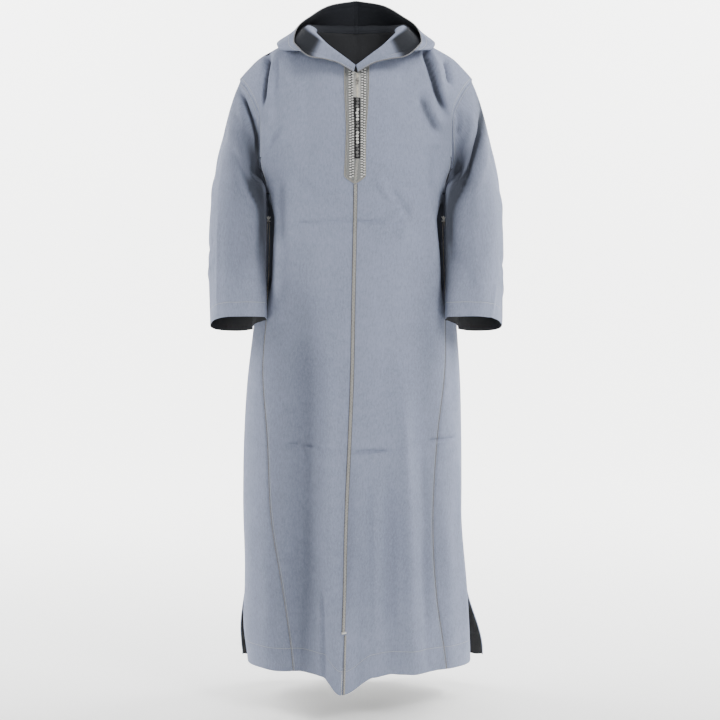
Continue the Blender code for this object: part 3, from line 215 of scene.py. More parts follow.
# hood thrown back: where its cloth turns over, and its free edge
HOOD_STAND = 0.008  # how far the hood rises from the neckline before it turns over
HOOD_CREST = 0.016  # how far it goes outwards there
HOOD_FOLD_RADIUS = 0.007
HOOD_FOLD_SHARE = 0.2  # a narrow turned edge has a tighter fold
HOOD_TANGENT_STEP = 0.01
HOOD = table("u fold_x fold_y fold_z rim_x rim_y rim_z under over", [
    (0, 4.6, -112.5, -50.5, 4.8, -120.5, -53.5, 0, 0),
    (.12, 37, -113, -33, 40, -123.5, -34, 0, 0),
    (.25, 68, -111, -19, 73, -124, -24.5, 1, 1),
    (.36, 108, -105, -6, 112, -118, -16, 1, 2),
    (.46, 152, -87, -1, 144, -96, 10, 0, 3),
    (.54, 177, -59, 6, 149, -68, 24, -3, 4),
    (.62, 181, -24, 17, 146.5, -38, 45, -2, 5),
    (.7, 171, 34, 19, 137, -4, 66, 2, 7),
    (.8, 154, 108, -46, 113, 32, 88, 12, 26),
    (.9, 104, 148, -170, 67, 84, 120, 20, 44),
    (1, 0, 156, -300, 0, 112, 135, 22, 44),
], "u")
HOOD_LEAN = 0.004  # how far the rim leans to the wearer's left at the shoulders

# ---- small mathematics ----
def read(rows, name, at):
    """A smooth curve through one column of a table against its first column."""
    return through(rows[rows.dtype.names[0]], rows[name], at)


def point_on(side, rows, u, before=""):
    """A point of the smooth curve that a table's x, y and z columns give, on either side."""
    x, y, z = (read(rows, before + axis, u) for axis in "xyz")
    return np.stack([side * x, y, z], -1)


def through(keys, values, at):
    """A smooth curve through (key, value) pairs, read at the places given.

    Cubic Hermite pieces whose slopes at the keys are those of the neighbouring chords.
    """
    keys, values, at = np.asarray(keys, float), np.asarray(values, float), np.asarray(at, float)
    order = np.argsort(keys)
    keys, values = keys[order], values[order]
    chord = np.diff(values) / np.diff(keys)
    slope = np.concatenate([chord[:1], (chord[:-1] + chord[1:]) / 2, chord[-1:]])
    piece = np.clip(np.searchsorted(keys, at) - 1, 0, len(keys) - 2)
    width = keys[piece + 1] - keys[piece]
    part = (at - keys[piece]) / width
    return hermite(part, width, values[piece], values[piece + 1], slope[piece], slope[piece + 1])


def hermite(part, width, start, end, slope, end_slope):
    """Blends two ends and the slopes there by the four cubic weights."""
    square, cube = part ** 2, part ** 3
    return ((2 * cube - 3 * square + 1) * start + (cube - 2 * square + part) * width * slope
            + (3 * square - 2 * cube) * end + (cube - square) * width * end_slope)


def ease(value):
    """0 below 0, 1 above 1, and a smooth step between."""
    value = np.clip(value, 0.0, 1.0)
    return value * value * (3 - 2 * value)


def unit(vectors):
    length = np.linalg.norm(vectors, axis=-1, keepdims=True)
    return vectors / np.maximum(length, 1e-12)


def power(value, exponent):
    """A power that keeps the sign."""
    return np.sign(value) * np.abs(value) ** exponent


# ---- the skirt: rings from the hem to the underarm ----
def half_width(side, z):
    """Half the width of the skirt's ring at a height."""
    return read(SECTIONS, "left" if side == RIGHT else "right", z)


def seam_x(side, z):
    """Where the seam between a front and its gore lies."""
    return side * read(SEAMS, "left" if side == RIGHT else "right", z)


def section_depth(front, z):
    """How far the ring at a height reaches to the front, or to the back."""
    return np.where(front, read(SECTIONS, "front", z), read(SECTIONS, "back", z))


def fold_relief(folds, x, z):
    """The sum of the long folds at (x, z): each a soft ridge across, fading in down its length."""
    total = np.zeros(np.broadcast(x, z).shape)
    for fold in folds:
        part = (fold.z_top - z) / (fold.z_top - fold.z_bottom)
        middle = fold.x_top + (fold.x_bottom - fold.x_top) * part
        grown = ease((fold.z_top - z) / FOLD_FADE) * (0.45 + 0.55 * np.clip(part, 0, 1))
        total += fold.depth * grown * np.exp(-((x - middle) / fold.width) ** 2)
    return total


def hem_height(side, angle):
    """Height of the hem at an angle of the ring: level, with a low tip at the centre front."""
    x = side * half_width(side, HEM_Z) * power(np.sin(angle), 2 / SQUARENESS)
    front = np.cos(angle) > 0
    width = np.where(x < FRONT_TIP_X, *FRONT_TIP_WIDTHS)
    tip = FRONT_TIP_DROP * np.exp(-np.abs((x - FRONT_TIP_X) / width) ** FRONT_TIP_FLATNESS) * front
    side_drop = HEM_SIDE_DROP * np.abs(np.sin(angle)) ** 8
    back_drop = HEM_BACK_DROP * ease(-np.cos(angle) * 3)
    return HEM_Z - tip - side_drop - back_drop


def skirt(side, angle, z, behind_vent=False):
    """A point of the skirt: angle 0 is the centre front, pi the centre back.

    The panels behind the vent flare outwards towards its edge.
    """
    width = half_width(side, z)
    front = np.cos(angle) >= 0
    x = side * width * power(np.sin(angle), 2 / SQUARENESS)
    y = -section_depth(front, z) * power(np.cos(angle), 2 / SQUARENESS)
    middle = 1 - np.clip(np.abs(x) / width, 0, 1) ** 5
    relief = np.where(front, fold_relief(FRONT_FOLDS, x, z), fold_relief(BACK_FOLDS, x, z))
    y = y + np.where(front, -1, 1) * relief * middle
    if behind_vent:
        opened = ease((VENT_TOP_Z - z) / (VENT_TOP_Z - HEM_Z))
        beside = np.exp(-((angle - math.pi / 2) / VENT_FLARE_ANGLE) ** 2)
        x = x + side * VENT_FLARE[side] * opened * beside
        y = y + VENT_FLARE_BACK * opened * beside
    return np.stack([x, y, z + 0 * x], -1)


def ring_angle(side, x, z, front=True):
    """The angle at which the ring at height z reaches x."""
    reach = np.clip(side * x / half_width(side, z), -0.999, 0.999)
    angle = np.arcsin(power(reach, SQUARENESS / 2))
    return angle if front else math.pi - angle


def seam_angle(side, name, z):
    """The angle of a seam: centre, gore_front, side, gore_back or back."""
    if name in ("side", "back"):
        return np.full(np.shape(z), math.pi / 2 if name == "side" else math.pi)
    if name == "gore_front":
        return ring_angle(side, seam_x(side, z), z)
    if name == "gore_back":
        return ring_angle(side, side * read(SEAMS, "back", z), z, False)
    return ring_angle(side, read(SEAMS, "centre", z), z)


# ---- the yoke: from the underarm over the shoulder ----
def neckline(side, u):
    """The neckline, from the centre front (0) to the centre back (1)."""
    return point_on(side, NECKLINE, u)


def shoulder(side, part):
    """The shoulder seam, from the neck (0) to the dropped tip (1)."""
    first, last = SHOULDER[0].x, SHOULDER[-1].x
    x = first + (last - first) * part
    z = read(SHOULDER, "z", x)
    y = SHOULDER_Y * (1 - part)
    return np.stack([side * x, y + 0 * x, z], -1)


def yoke_top(side, front, t, neck_share):
    """The upper edge of a panel: the neckline for t up to neck_share, then the shoulder."""
    start = 0.0 if front else 1.0
    u = start + (NECK_SIDE_U - start) * np.clip(t / neck_share, 0, 1)
    on_shoulder = np.clip((t - neck_share) / (1 - neck_share), 0, 1)
    past_neck = (t > neck_share)[..., None]
    return np.where(past_neck, shoulder(side, on_shoulder), neckline(side, u))


def armhole(side, front, w, foot):
    """The armhole edge, from its foot on the top skirt ring (0) to the shoulder tip (1)."""
    keys = np.concatenate([[0.0], ARMHOLE.w])
    names = ("x", "y_front" if front else "y_back", "z")
    start = (side * foot[0], foot[1], foot[2])
    curve = [through(keys, np.concatenate([[begin], ARMHOLE[name]]), w)
             for name, begin in zip(names, start)]
    return np.stack([side * curve[0], curve[1], curve[2]], -1)


def yoke(side, front, t, w, neck_share):
    """A point of the front or back above the underarm.

    Each column is an arch from the top skirt ring towards a ridge over the shoulders, cut
    off where it meets the neckline. The columns near the arm are bent so that the last
    one runs along the armhole.
    """
    centre = "centre" if front else "back"
    gore = "gore_front" if front else "gore_back"
    level = np.full(np.shape(t), ARMPIT_Z)
    first, last = seam_angle(side, centre, level), seam_angle(side, gore, level)

    def arch(t_value):
        foot = skirt(side, first + (last - first) * t_value, level + 0 * t_value)
        top = yoke_top(side, front, t_value, neck_share)
        ridge_y = np.where(t_value > neck_share, top[..., 1], SHOULDER_Y)
        stay_top = np.clip((top[..., 1] - ridge_y) / (foot[..., 1] - ridge_y), 0, 1)
        full_turn = np.arccos(stay_top ** (1 / ARCH_FULLNESS))
        full_rise = np.sin(full_turn) ** ARCH_RISE
        turn = full_turn * w
        part = (np.sin(turn) ** ARCH_RISE / full_rise)[..., None]
        point = foot + (top - foot) * part
        point[..., 1] = ridge_y + (foot[..., 1] - ridge_y) * np.maximum(np.cos(turn), 0) ** ARCH_FULLNESS
        return point

    foot = skirt(side, last.flat[0], np.array(ARMPIT_Z))
    edge = armhole(side, front, w, foot)
    return arch(t) + (edge - arch(np.ones_like(t))) * (np.clip(t, 0, 1) ** 4)[..., None]


# ---- grids, walls and meshes ----
LOWER_ROWS = 270  # rows of the cloth's grid below the underarm
UPPER_ROWS = 84  # and above it
NECK_SHARE = {"front": 0.5, "back": 5 / 12}  # share of a panel's columns that end on the neckline
FRONT_COLUMNS = 64
BACK_COLUMNS = 60
GORE_COLUMNS = 22
SLEEVE_POINTS = 132
SLEEVE_ROWS = 150
EDGE_STEPS = (0.0013, 0.003)  # extra columns this far from each edge, in metres


def with_edges(count, length):
    """Even steps from 0 to 1, and a few more close to both ends for the dip of a seam."""
    close = np.array(EDGE_STEPS) / length
    return np.unique(np.concatenate([np.linspace(0, 1, count + 1), close, 1 - close]).round(7))


def relax(points, rounds, closed=False):
    """Each inner point is moved half way to the mean of its four neighbours, again and again."""
    columns = slice(None) if closed else slice(1, -1)
    for _ in range(rounds):
        inner = points[1:-1]
        mean = (points[:-2] + points[2:] + np.roll(inner, 1, 1) + np.roll(inner, -1, 1)) / 4
        inner[:, columns] += 0.5 * (mean - inner)[:, columns]
    return points


def ring_of(count):
    """Even angles once round."""
    return np.linspace(0, 2 * math.pi, count + 1)[:-1]


def slopes(points, closed=False):
    """Differences of a grid along its columns and along its rows."""
    if closed:
        across = (np.roll(points, -1, 1) - np.roll(points, 1, 1)) / 2
    else:
        across = np.gradient(points, axis=1)
    return across, np.gradient(points, axis=0)


def grid_normals(points, turn, closed=False):
    """Unit normals of a grid: the cross product of its two slopes, times turn (1 or -1)."""
    across, along = slopes(points, closed)
    return turn * unit(np.cross(across, along))


def walked(points, axis):
    """Distance walked along one axis of a grid, from its first row or column."""
    step = np.linalg.norm(np.diff(points, axis=axis), axis=-1)
    pad = [(0, 0), (0, 0)]
    pad[axis] = (1, 0)
    return np.cumsum(np.pad(step, pad), axis=axis)


def length_along(path):
    """Distance walked along a path from its first point."""
    return np.concatenate([[0], np.cumsum(np.linalg.norm(np.diff(path, axis=0), axis=1))])


def quads(index):
    """The four-sided faces of a grid of point numbers."""
    return np.stack([index[:-1, :-1], index[:-1, 1:], index[1:, 1:], index[1:, :-1]], -1).reshape(-1, 4)


class Pile:
    """Grids of points gathered into one mesh."""

    def __init__(self):
        self.points, self.faces, self.places, self.values, self.count = [], [], [], [], 0

    def add(self, points, closed=False, turn=1, value=0.0, cap=False):
        """Adds a grid, or a stack of like grids, with one value for its points."""
        points = np.asarray(points, float)
        points = points.reshape(-1, *points.shape[-3:])
        stack, rows, columns = points.shape[:3]
        index = np.arange(rows * columns).reshape(rows, columns)
        if closed:
            index = np.concatenate([index, index[:, :1]], 1)
        faces = quads(index)
        if cap:
            k = np.arange(columns // 2 - 1)
            strip = np.stack([k, k + 1, columns - 2 - k, columns - 1 - k], -1)
            faces = np.concatenate([faces, strip[:, ::-1], strip + (rows - 1) * columns])
        if turn < 0:
            faces = faces[:, ::-1]
        offset = self.count + rows * columns * np.arange(stack)
        self.faces.append((faces[None] + offset[:, None, None]).reshape(-1, 4))
        self.points.append(points.reshape(-1, 3))
        self.values.append(np.repeat(np.broadcast_to(value, (stack,)), rows * columns))
        self.count += stack * rows * columns
        return self

    def mesh(self, name, weld=False):
        """All that was gathered, as one smooth mesh."""
        faces, points = np.concatenate(self.faces), np.concatenate(self.points)
        mesh = mesh_of(name, points, faces, {"shade": np.concatenate(self.values)})
        if weld:
            work = bmesh.new()
            work.from_mesh(mesh)
            bmesh.ops.remove_doubles(work, verts=work.verts, dist=WELD)
            bmesh.ops.recalc_face_normals(work, faces=work.faces)
            work.to_mesh(mesh)
            work.free()
        mesh.shade_smooth()
        return mesh


WELD = 1e-6


def mesh_of(name, points, faces, values=None, uv=None):
    """A mesh of four-sided faces, with values at its points and a UV map in metres."""
    mesh = bpy.data.meshes.new(name)
    mesh.vertices.add(len(points))
    mesh.vertices.foreach_set("co", np.ascontiguousarray(points, np.float32).ravel())
    mesh.loops.add(faces.size)
    mesh.loops.foreach_set("vertex_index", faces.astype(np.int32).ravel())
    mesh.polygons.add(len(faces))
    mesh.polygons.foreach_set("loop_start", np.arange(0, faces.size, 4, dtype=np.int32))
    mesh.update(calc_edges=True)
    for word, value in (values or {}).items():
        layer = mesh.attributes.new(word, "FLOAT", "POINT")
        layer.data.foreach_set("value", np.asarray(value, np.float32).ravel())
    if uv is not None:
        layer = mesh.uv_layers.new(name="cloth")
        layer.data.foreach_set("uv", np.asarray(uv[faces.ravel()], np.float32).ravel())
    return mesh


def wall(name, outer, normals, turn, uv, values, closed):
    """A closed wall: a grid of outer points, the same grid moved in, and a rim between them.

    A value may be a pair, for the outer and the inner points.
    """
    rows, columns = outer.shape[:2]
    inner = outer - normals * sizes().wall
    index = np.arange(rows * columns).reshape(rows, columns)
    if closed:
        index = np.concatenate([index, index[:, :1]], 1)
    back = index + rows * columns

    def rim(line, under):
        return np.stack([line[:-1], under[:-1], under[1:], line[1:]], -1)

    faces = [quads(index), quads(back)[:, ::-1],
             rim(index[0], back[0]), rim(index[-1][::-1], back[-1][::-1])]
    if not closed:
        faces += [rim(index[:, 0][::-1], back[:, 0][::-1]), rim(index[:, -1], back[:, -1])]
    faces = np.concatenate(faces)
    if turn < 0:
        faces = faces[:, ::-1]
    points = np.concatenate([outer.reshape(-1, 3), inner.reshape(-1, 3)])
    twice = {word: np.stack([np.broadcast_to(part, outer.shape[:2])
                             for part in (value if isinstance(value, tuple) else (value, value))])
             for word, value in values.items()}
    mesh = mesh_of(name, points, faces, twice, np.tile(uv.reshape(-1, 2), (2, 1)))
    mesh.shade_smooth()
    mesh.set_sharp_from_angle(angle=math.radians(50))
    return mesh


def place(name, mesh, material, replaces=()):
    """The finished piece: it stands at the origin, rides on the robe and shows its finish."""
    thing = bpy.data.objects.new(name, mesh)
    mesh.materials.append(material)
    bpy.context.scene.collection.objects.link(thing)
    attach(thing, "robe")
    if replaces:
        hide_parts(*replaces)


def make_cloth(name, points, normals, turn, u, v, hem, seam, painted_shade, closed=False, inside=1.0):
    """A wall of cloth with the distances to its lines of stitches, and painted shade in its troughs and on
    its inner face.
    """
    # inside marks the inner face, which is given a dark painted shade
    values = {"hem_line": hem, "seam_line": seam, "painted_shade": painted_shade, "inside": (0.0, inside)}
    mesh = wall("cloth_" + name, points, normals, turn, np.stack([u, v], -1), values, closed)
    place("cloth_" + name, mesh, finishes()["cloth"], [name])


# ---- creases ----
FRONT_CREASES = creases([
    # pressed lines from folding, and the small star where two of them meet
    (-164, -914, -100, -918, 0, 5, -3.6, .6),
    (-150, -897, -128, -921, 0, 5, 4, .2),
    (-128, -921, -104, -899, 0, 5, 3.6, .2),
    (-129, -919, -143, -948, 0, 5, 1.8, 0),
    (-129, -919, -117, -952, 0, 4.5, -3.6, 0),
    (-8, -928, 78, -926, 1, 5, -4.6, .7),
    (160, -907, 246, -909, 0, 5, -5, .7),
    (196, -888, 212, -908, 0, 5, 1.6, 0),
    (-154, -402, -10, -394, 2, 5.5, -3, .8),
    (-20, -394, 90, -400, 1, 6, -2.4, .7),
    # slanting drag lines on the chest
    (40, -293, 86, -358, 3, 10, 6, .3),
    (72, -318, 128, -398, 4, 10, -7, .3),
    (112, -360, 54, -404, 2, 9, 5, .2),
    (150, -330, 98, -440, -6, 16, 5.5, .3),
    (-150, -300, -90, -350, 3, 13, -4.5, .3),
    (-205, -218, -166, -168, 2, 9, -4, .2),
    (-212, -250, -160, -196, 2, 10, 2.5, .2),
    (-150, 12, -150, -120, 0, 15, 3, 0),
    (-182, -290, -180, -450, 2, 12, -5, .2),
    (-160, -280, -158, -480, 2, 16, 3.5, 0),
    (-100, -120, -110, -300, 4, 20, -2, 0),
    (80, -120, 92, -280, 4, 20, -2.5, 0),
    # long soft folds of the skirt, finer than those of its plain form
    (-102, -640, -108, -1090, 3, 12, 3, .1),
    (-160, -760, -172, -1300, 3, 20, 3, .1),
    (-192, -1000, -196, -1460, 2, 14, -4, .2),
    (205, -1020, 224, -1470, 2, 16, 4.5, .2),
    (-82, -1230, -79, -1480, 1, 8, -9, .5),
    (20, -1180, 14, -1490, 2, 14, 4.5, .3),
    (150, -1100, 166, -1470, 2, 10, -4, .3),
    (30, -520, 36, -860, 2, 24, 3, 0),
])
FRONT_GROOVES = grooves([
    # pressed lines right across the chest and the knees
    (5.5, -2.2, .6, -205, -402, -100, -401, 0, -395, 90, -400, 200, -406),
    (5, -2.2, .6, -262, -904, -164, -914, -100, -918, -8, -928, 78, -926, 160, -912, 262, -904),
    # the wearer's right shoulder
    (7, -17, .2, -207, 20, -211.2, -55, -214.5, -95, -216, -142),
    (9, 7, 0, -196.7, -20, -200, -68, -203, -114, -204.6, -190),
    (8, -5, .2, -180, -10, -190, -67, -197, -120),
    # the wearer's left shoulder
    (8, -20, .2, 150, 30, 172, -32, 181.4, -67, 186.6, -90, 198.4, -122, 212, -160),
    (9, 7, 0, 168, 10, 190, -35, 199, -80, 208, -115),
    (6, -11, .2, 204, -4, 214, -40, 219, -85),
    (11, -11, .3, 142, -85, 160, -138, 178, -172, 204, -206),
    (12, 7, 0, 160, -105, 178, -140, 200, -175),
    (14, -8, 0, 186, -205, 190, -270, 184, -330),
    # the loose cloth along the sides of the body turns under here
    (10, 6, .4, 160, -300, 172, -380, 190, -480, 204, -600),
    (13, -20, 0, 218, -310, 207, -390, 212, -480, 218, -600),
    (10, 6, .4, -183, -390, -188, -480, -196, -600),
    (13, -20, 0, -218, -310, -209, -390, -214, -480, -218, -600),
    # the broad trough and the ripples of the skirt
    (42, -10, 0, -126, -480, -126, -900, -126, -1150, -128, -1500),
    (13, 5, 0, -60, -640, -61, -950, -64, -1400),
    (12, -4, 0, -18, -900, -22, -1150, -26, -1330),
    (11, 4, 0, 42, -950, 46, -1200, 44, -1430),
    (11, -5, 0, 76, -900, 80, -1150, 82, -1430),
    (13, 6, 0, 108, -740, 124, -1050, 136, -1430),
    (11, -5, 0, 150, -850, 164, -1150, 172, -1430),
])
# the ones deep enough to get painted shade along them
DEEP_GROOVES = [groove for groove in FRONT_GROOVES if groove[1] < -0.01]
# Painted shade on the body: each line darkens the cloth's colour by its strength, up to 1, for the shadow
# in the gaps beside the sleeves and along the broad troughs of the skirt; the widest makes the skirt
# darker towards the bottom.
BODY_PAINTED_SHADES = painted_shades([
    (11, .9, -220, -230, -214, -320, -204, -420, -202, -500, -216, -640),
    (12, .95, 224, -230, 216, -320, 205, -400, 204, -480, 212, -640),
    (34, .36, -118, -380, -118, -720, -118, -1000, -118, -1250, -120, -1700),
    (48, .26, -180, -380, -170, -780, -170, -1050, -170, -1700),
    (32, .2, 150, -400, 166, -640, 178, -800, 186, -1400),
    (350, .08, 0, -900, 0, -2000),
    (13, .1, -18, -860, -22, -1150, -26, -1400),
    (12, .1, 76, -860, 80, -1150, 82, -1480),
])
# Painted shade on the sleeves: the dark gap beside the body, a fold by the wearer's left shoulder, and a
# broad darker band down the front of each sleeve.
SLEEVE_PAINTED_SHADES = {
    RIGHT: painted_shades([
        (19, .88, -262, -120, -227, -290, -211, -352, -205, -450, -205, -680),
        (36, .26, -270, -100, -250, -300, -232, -400, -226, -580),
        (56, .2, -270, 60, -286, -150, -286, -400, -286, -640),
    ]),
    LEFT: painted_shades([
        (11, .8, 288, -60, 302, -131, 293, -190, 260, -280),
        (19, .9, 268, -150, 232, -300, 214, -362, 205, -450, 205, -680),
        (32, .22, 266, -200, 248, -320, 232, -420, 226, -580),
        (56, .2, 270, 60, 286, -150, 286, -400, 286, -640),
    ]),
}
BACK_CREASES = creases([
    (-150, -20, -178, -250, 6, 14, -6, .2),
    (150, -20, 186, -270, 6, 14, -6.5, .2),
    (-180, -250, -150, -470, 4, 18, 5, .2),
    (180, -260, 152, -500, 4, 18, 5, .2),
    (-110, -920, 20, -914, 2, 5.5, -1.8, .6),
    (60, -912, 150, -922, 2, 5.5, -1.8, .6),
    (-80, -405, 70, -398, 3, 6, -1.8, .6),
    (-160, -600, -182, -1440, 5, 22, -6, .2),
    (-90, -560, -96, -1460, 4, 24, 6, .2),
    (-16, -520, -12, -1450, 3, 23, -5.5, .1),
    (64, -600, 74, -1460, 4, 23, 6, .2),
    (140, -520, 150, -1300, 4, 22, -5, .2),
    (196, -700, 210, -1440, 3, 18, 4.5, .2),
    (-60, -300, -30, -460, 6, 20, 3, .1),
    (50, -290, 20, -470, 6, 20, -3, .1),
    (-210, -330, -170, -420, 4, 12, -4.5, .3),
    (210, -330, 168, -430, 4, 12, -4.5, .3),
])
# on the sides a is the distance in y
SIDE_CREASES = creases([
    (-70, -400, -80, -900, 4, 20, -4.5, .2),
    (0, -420, 10, -1200, 4, 22, 5, .1),
    (70, -400, 86, -960, 4, 20, -4.5, .2),
    (-50, -900, -64, -1440, 3, 20, 5, .2),
    (90, -1000, 104, -1450, 3, 18, 4, .2),
    (-90, -930, -10, -924, 1, 5.5, -1.8, .6),
    (20, -380, -80, -460, 4, 12, -3, .3),
])


def crease_relief(rows, a, z):
    """How far the creases move the cloth at (a, z), along its normal.

    Across each crease the depth falls off as a bell curve, leaned over by its skew;
    along it the depth grows from nothing at both ends.
    """
    total = np.zeros(np.broadcast(a, z).shape)
    for crease in rows:
        run = np.array([crease.a1 - crease.a0, crease.z1 - crease.z0])
        length = np.linalg.norm(run)
        run = run / length
        part = ((a - crease.a0) * run[0] + (z - crease.z0) * run[1]) / length
        off = (a - crease.a0) * -run[1] + (z - crease.z0) * run[0]
        off = (off - crease.bow * np.sin(math.pi * np.clip(part, 0, 1))) / crease.width
        fade = ease(part / 0.22) * ease((1 - part) / 0.22)
        total += crease.depth * fade * ((1 - crease.skew) + crease.skew * 2.0 * off) * np.exp(-off ** 2)
    return total


def groove_relief(rows, a, z):
    """How far the grooves move the cloth at (a, z), along its normal.

    The distance is that to the nearest of the groove's straight runs, with the sign of the
    side; across it the depth falls off as a bell curve, along it towards both ends.
    """
    total = np.zeros(np.broadcast(a, z).shape)
    for width, depth, skew, stops in rows:
        runs = np.linalg.norm(np.diff(stops, axis=0), axis=1)
        nearest, off, place_on = np.full(total.shape, np.inf), np.zeros(total.shape), np.zeros(total.shape)
        for k, (start, end) in enumerate(zip(stops, stops[1:])):
            run = (end - start) / runs[k]
            on = np.clip((a - start[0]) * run[0] + (z - start[1]) * run[1], 0, runs[k])
            away_a, away_z = a - start[0] - on * run[0], z - start[1] - on * run[1]
            distance = np.hypot(away_a, away_z)
            closer = distance < nearest
            nearest = np.where(closer, distance, nearest)
            off = np.where(closer, np.sign(away_z * run[0] - away_a * run[1]) * distance, off)
            place_on = np.where(closer, (runs[:k].sum() + on) / runs.sum(), place_on)
        off = off / width
        fade = ease(place_on / 0.3) * ease((1 - place_on) / 0.3)
        total += depth * fade * (1 + skew * 2.0 * off) * np.exp(-off ** 2)
    return total


def facing(normals, direction):
    """1 where the cloth faces a direction, 0 where it faces away, with a soft change."""
    return ease((normals @ np.array(direction, float) - 0.15) / 0.5)


def painted_shade_of(relief, painted_shades, points, facing_share):
    """The share of painted shade at each place: 0 on open cloth, up to 1 at the foot of a deep trough and
    on the painted shade lines.
    """
    shade = groove_relief(painted_shades, points[..., 0], points[..., 2])
    return np.clip((0.8 * ease((-relief - SHADE_PAINT_START) / SHADE_PAINT_DEPTH) + shade) * facing_share, 0, 1)


def body_relief(points, normals):
    """Creases of the fronts, the back and the sides, each where the cloth faces that way."""
    x, y, z = points[..., 0], points[..., 1], points[..., 2]
    front = facing(normals, (0, -1, 0.2))
    total = (crease_relief(FRONT_CREASES, x, z) + groove_relief(FRONT_GROOVES, x, z)) * front
    total += crease_relief(BACK_CREASES, x, z) * facing(normals, (0, 1, 0.2))
    total += crease_relief(SIDE_CREASES, y, z) * facing(normals, (1, 0, 0))
    total += crease_relief(SIDE_CREASES, -0.6 * y, z + 0.03) * facing(normals, (-1, 0, 0))
    return total


def seam_dip(distance):
    """The cloth sinks towards a seam: a bell curve of the distance from it."""
    return -SEAM_DIP * np.exp(-(distance / SEAM_DIP_WIDTH) ** 2)


# ---- body ----
SEAM_DIP, SEAM_DIP_WIDTH = 0.0016, 0.0022
SHADE_PAINT_START = 0.005  # a groove deeper than this gets painted shade
SHADE_PAINT_DEPTH = 0.011  # and this much deeper its painted shade is full
SLIT_TOP_BLEND = 0.035  # width over which the open edges of a slit are drawn back
STITCH_HEM = 0.055  # from the hem up to its line of stitches
STITCH_SEAM = 0.006  # from a seam to the topstitching beside it
STITCH_CUFF = 0.034
STITCH_HOOD = 0.012
NO_LINE = 1.0  # value of a stitch line that is nowhere near


def edge_out(points, normals, edge, neighbour):
    """Unit vectors in the cloth that point across an edge, away from the panel."""
    line = points[edge]
    out = unit(np.cross(np.gradient(line, axis=0), normals[edge]))
    flip = np.sum(out * (line - points[neighbour]), -1, keepdims=True) < 0
    return np.where(flip, -out, out)


def draw_back(points, normals, last, amount):
    """Draws the first or last column back by an amount for each row, and the next ones less."""
    edge, near = ((slice(None), -1), (slice(None), -4)) if last else ((slice(None), 0), (slice(None), 3))
    out = edge_out(points, normals, edge, near)
    gone = walked(points, 1)
    distance = gone[:, -1:] - gone if last else gone
    share = np.clip(1 - distance / SLIT_TOP_BLEND, 0, 1)
    points -= out[:, None] * (amount[:, None] * share)[..., None]


def opening(points, top, spread):
    """Half the gap of a slit at each point of an edge, growing from its top to the hem."""
    return spread * np.clip((top - points[:, 2]) / (top - HEM_Z), 0, 1)


# each panel of a side, and the seams that it runs between
PANELS = {"front": ("centre", "gore_front"), "back": ("back", "gore_back"),
          "gore_front": ("gore_front", "side"), "gore_back": ("gore_back", "side")}


@cache
def body_grids():
    """The outer points of every body panel before its creases, as fine grids."""
    up = with_edges(LOWER_ROWS, ARMPIT_Z - HEM_Z)
    rise = with_edges(UPPER_ROWS, 0.4)[1:]
    across = {"front": with_edges(FRONT_COLUMNS, 0.215), "back": with_edges(BACK_COLUMNS, 0.21),
              "gore": with_edges(GORE_COLUMNS, 0.14)}
    level = HEM_Z + (ARMPIT_Z - HEM_Z) * up
    made = {}
    for side, word in SIDES:
        for name, (start, end) in PANELS.items():
            t = across[name.split("_")[0]]
            first, last = seam_angle(side, start, level), seam_angle(side, end, level)
            angle = first[:, None] + (last - first)[:, None] * t
            hem = hem_height(side, angle)
            height = hem + (ARMPIT_Z - hem) * up[:, None]
            points = skirt(side, angle, height, name in ("back", "gore_back"))
            if name in ("front", "back"):
                top = yoke(side, name == "front", *np.meshgrid(t, rise), NECK_SHARE[name])
                points = relax(np.concatenate([points, top]), 26)
            made[f"{name}_{word}"] = points
    return made, across, len(up)


def panel_turn(side, name):
    """1 where columns and rows run so that their cross product points outwards, else -1."""
    return side if name in ("front", "gore_front") else -side


@cache
def body_panels():
    """Every body panel with creases, seam dips and drawn-back slits.

    For each: outer points, normals, turn, the distances from its edges, and its painted shade.
    """
    grids, across, lower = body_grids()
    panels = {}
    for side, word in SIDES:
        for name in PANELS:
            base = grids[f"{name}_{word}"]
            turn = panel_turn(side, name)
            normals = grid_normals(base, turn)
            relief = body_relief(base, normals)
            points = base + normals * relief[..., None]
            # painted shade along the deep grooves and the body's painted shade lines, on cloth that faces
            # the front
            deep = groove_relief(DEEP_GROOVES, base[..., 0], base[..., 2])
            painted_shade = painted_shade_of(deep, BODY_PAINTED_SHADES, base, facing(normals, (0, -1, 0.2)))
            gone = walked(base, 1)
            left_over = gone[:, -1:] - gone
            dip = seam_dip(left_over)
            top = seam_dip(walked(base[::-1], 0)[::-1])
            if name.startswith("gore"):
                dip = dip + seam_dip(gone) + top
            else:
                dip = dip + top * ease((across[name] - NECK_SHARE[name]) / 0.02)
            points = points + normals * dip[..., None]
            if name == "front":
                draw_back(points, normals, False, opening(points[:, 0], SLIT_TOP_Z, SLIT_SPREAD))
            if name.startswith("gore"):
                draw_back(points, normals, True, opening(points[:, -1], VENT_TOP_Z, VENT_SPREAD))
            panels[f"{name}_{word}"] = {
                "points": points, "normals": grid_normals(points, turn), "turn": turn,
                "gone": gone, "left_over": left_over, "up": walked(base, 0), "painted_shade": painted_shade}
    return panels, across, lower


def body_walls():
    """Makes the fronts, the back and the gores."""
    panels, _, _ = body_panels()
    for side, word in SIDES:
        for name in ("front", "gore_front", "gore_back"):
            panel = panels[f"{name}_{word}"]
            seam = panel["left_over"] - STITCH_SEAM if name == "front" else NO_LINE
            make_cloth(f"{name}_{word}", panel["points"], panel["normals"], panel["turn"],
                       panel["gone"] * side, panel["up"], panel["up"] - STITCH_HEM, seam, panel["painted_shade"])
    right, left = panels["back_right"], panels["back_left"]

    def joined(word, sign=1):
        return np.concatenate([sign * right[word][:, ::-1], left[word][:, 1:]], 1)

    points, up = joined("points"), joined("up")
    make_cloth("back", points, grid_normals(points, -1), -1, joined("gone", -1), up,
               up - STITCH_HEM, joined("left_over") - STITCH_SEAM, joined("painted_shade"))


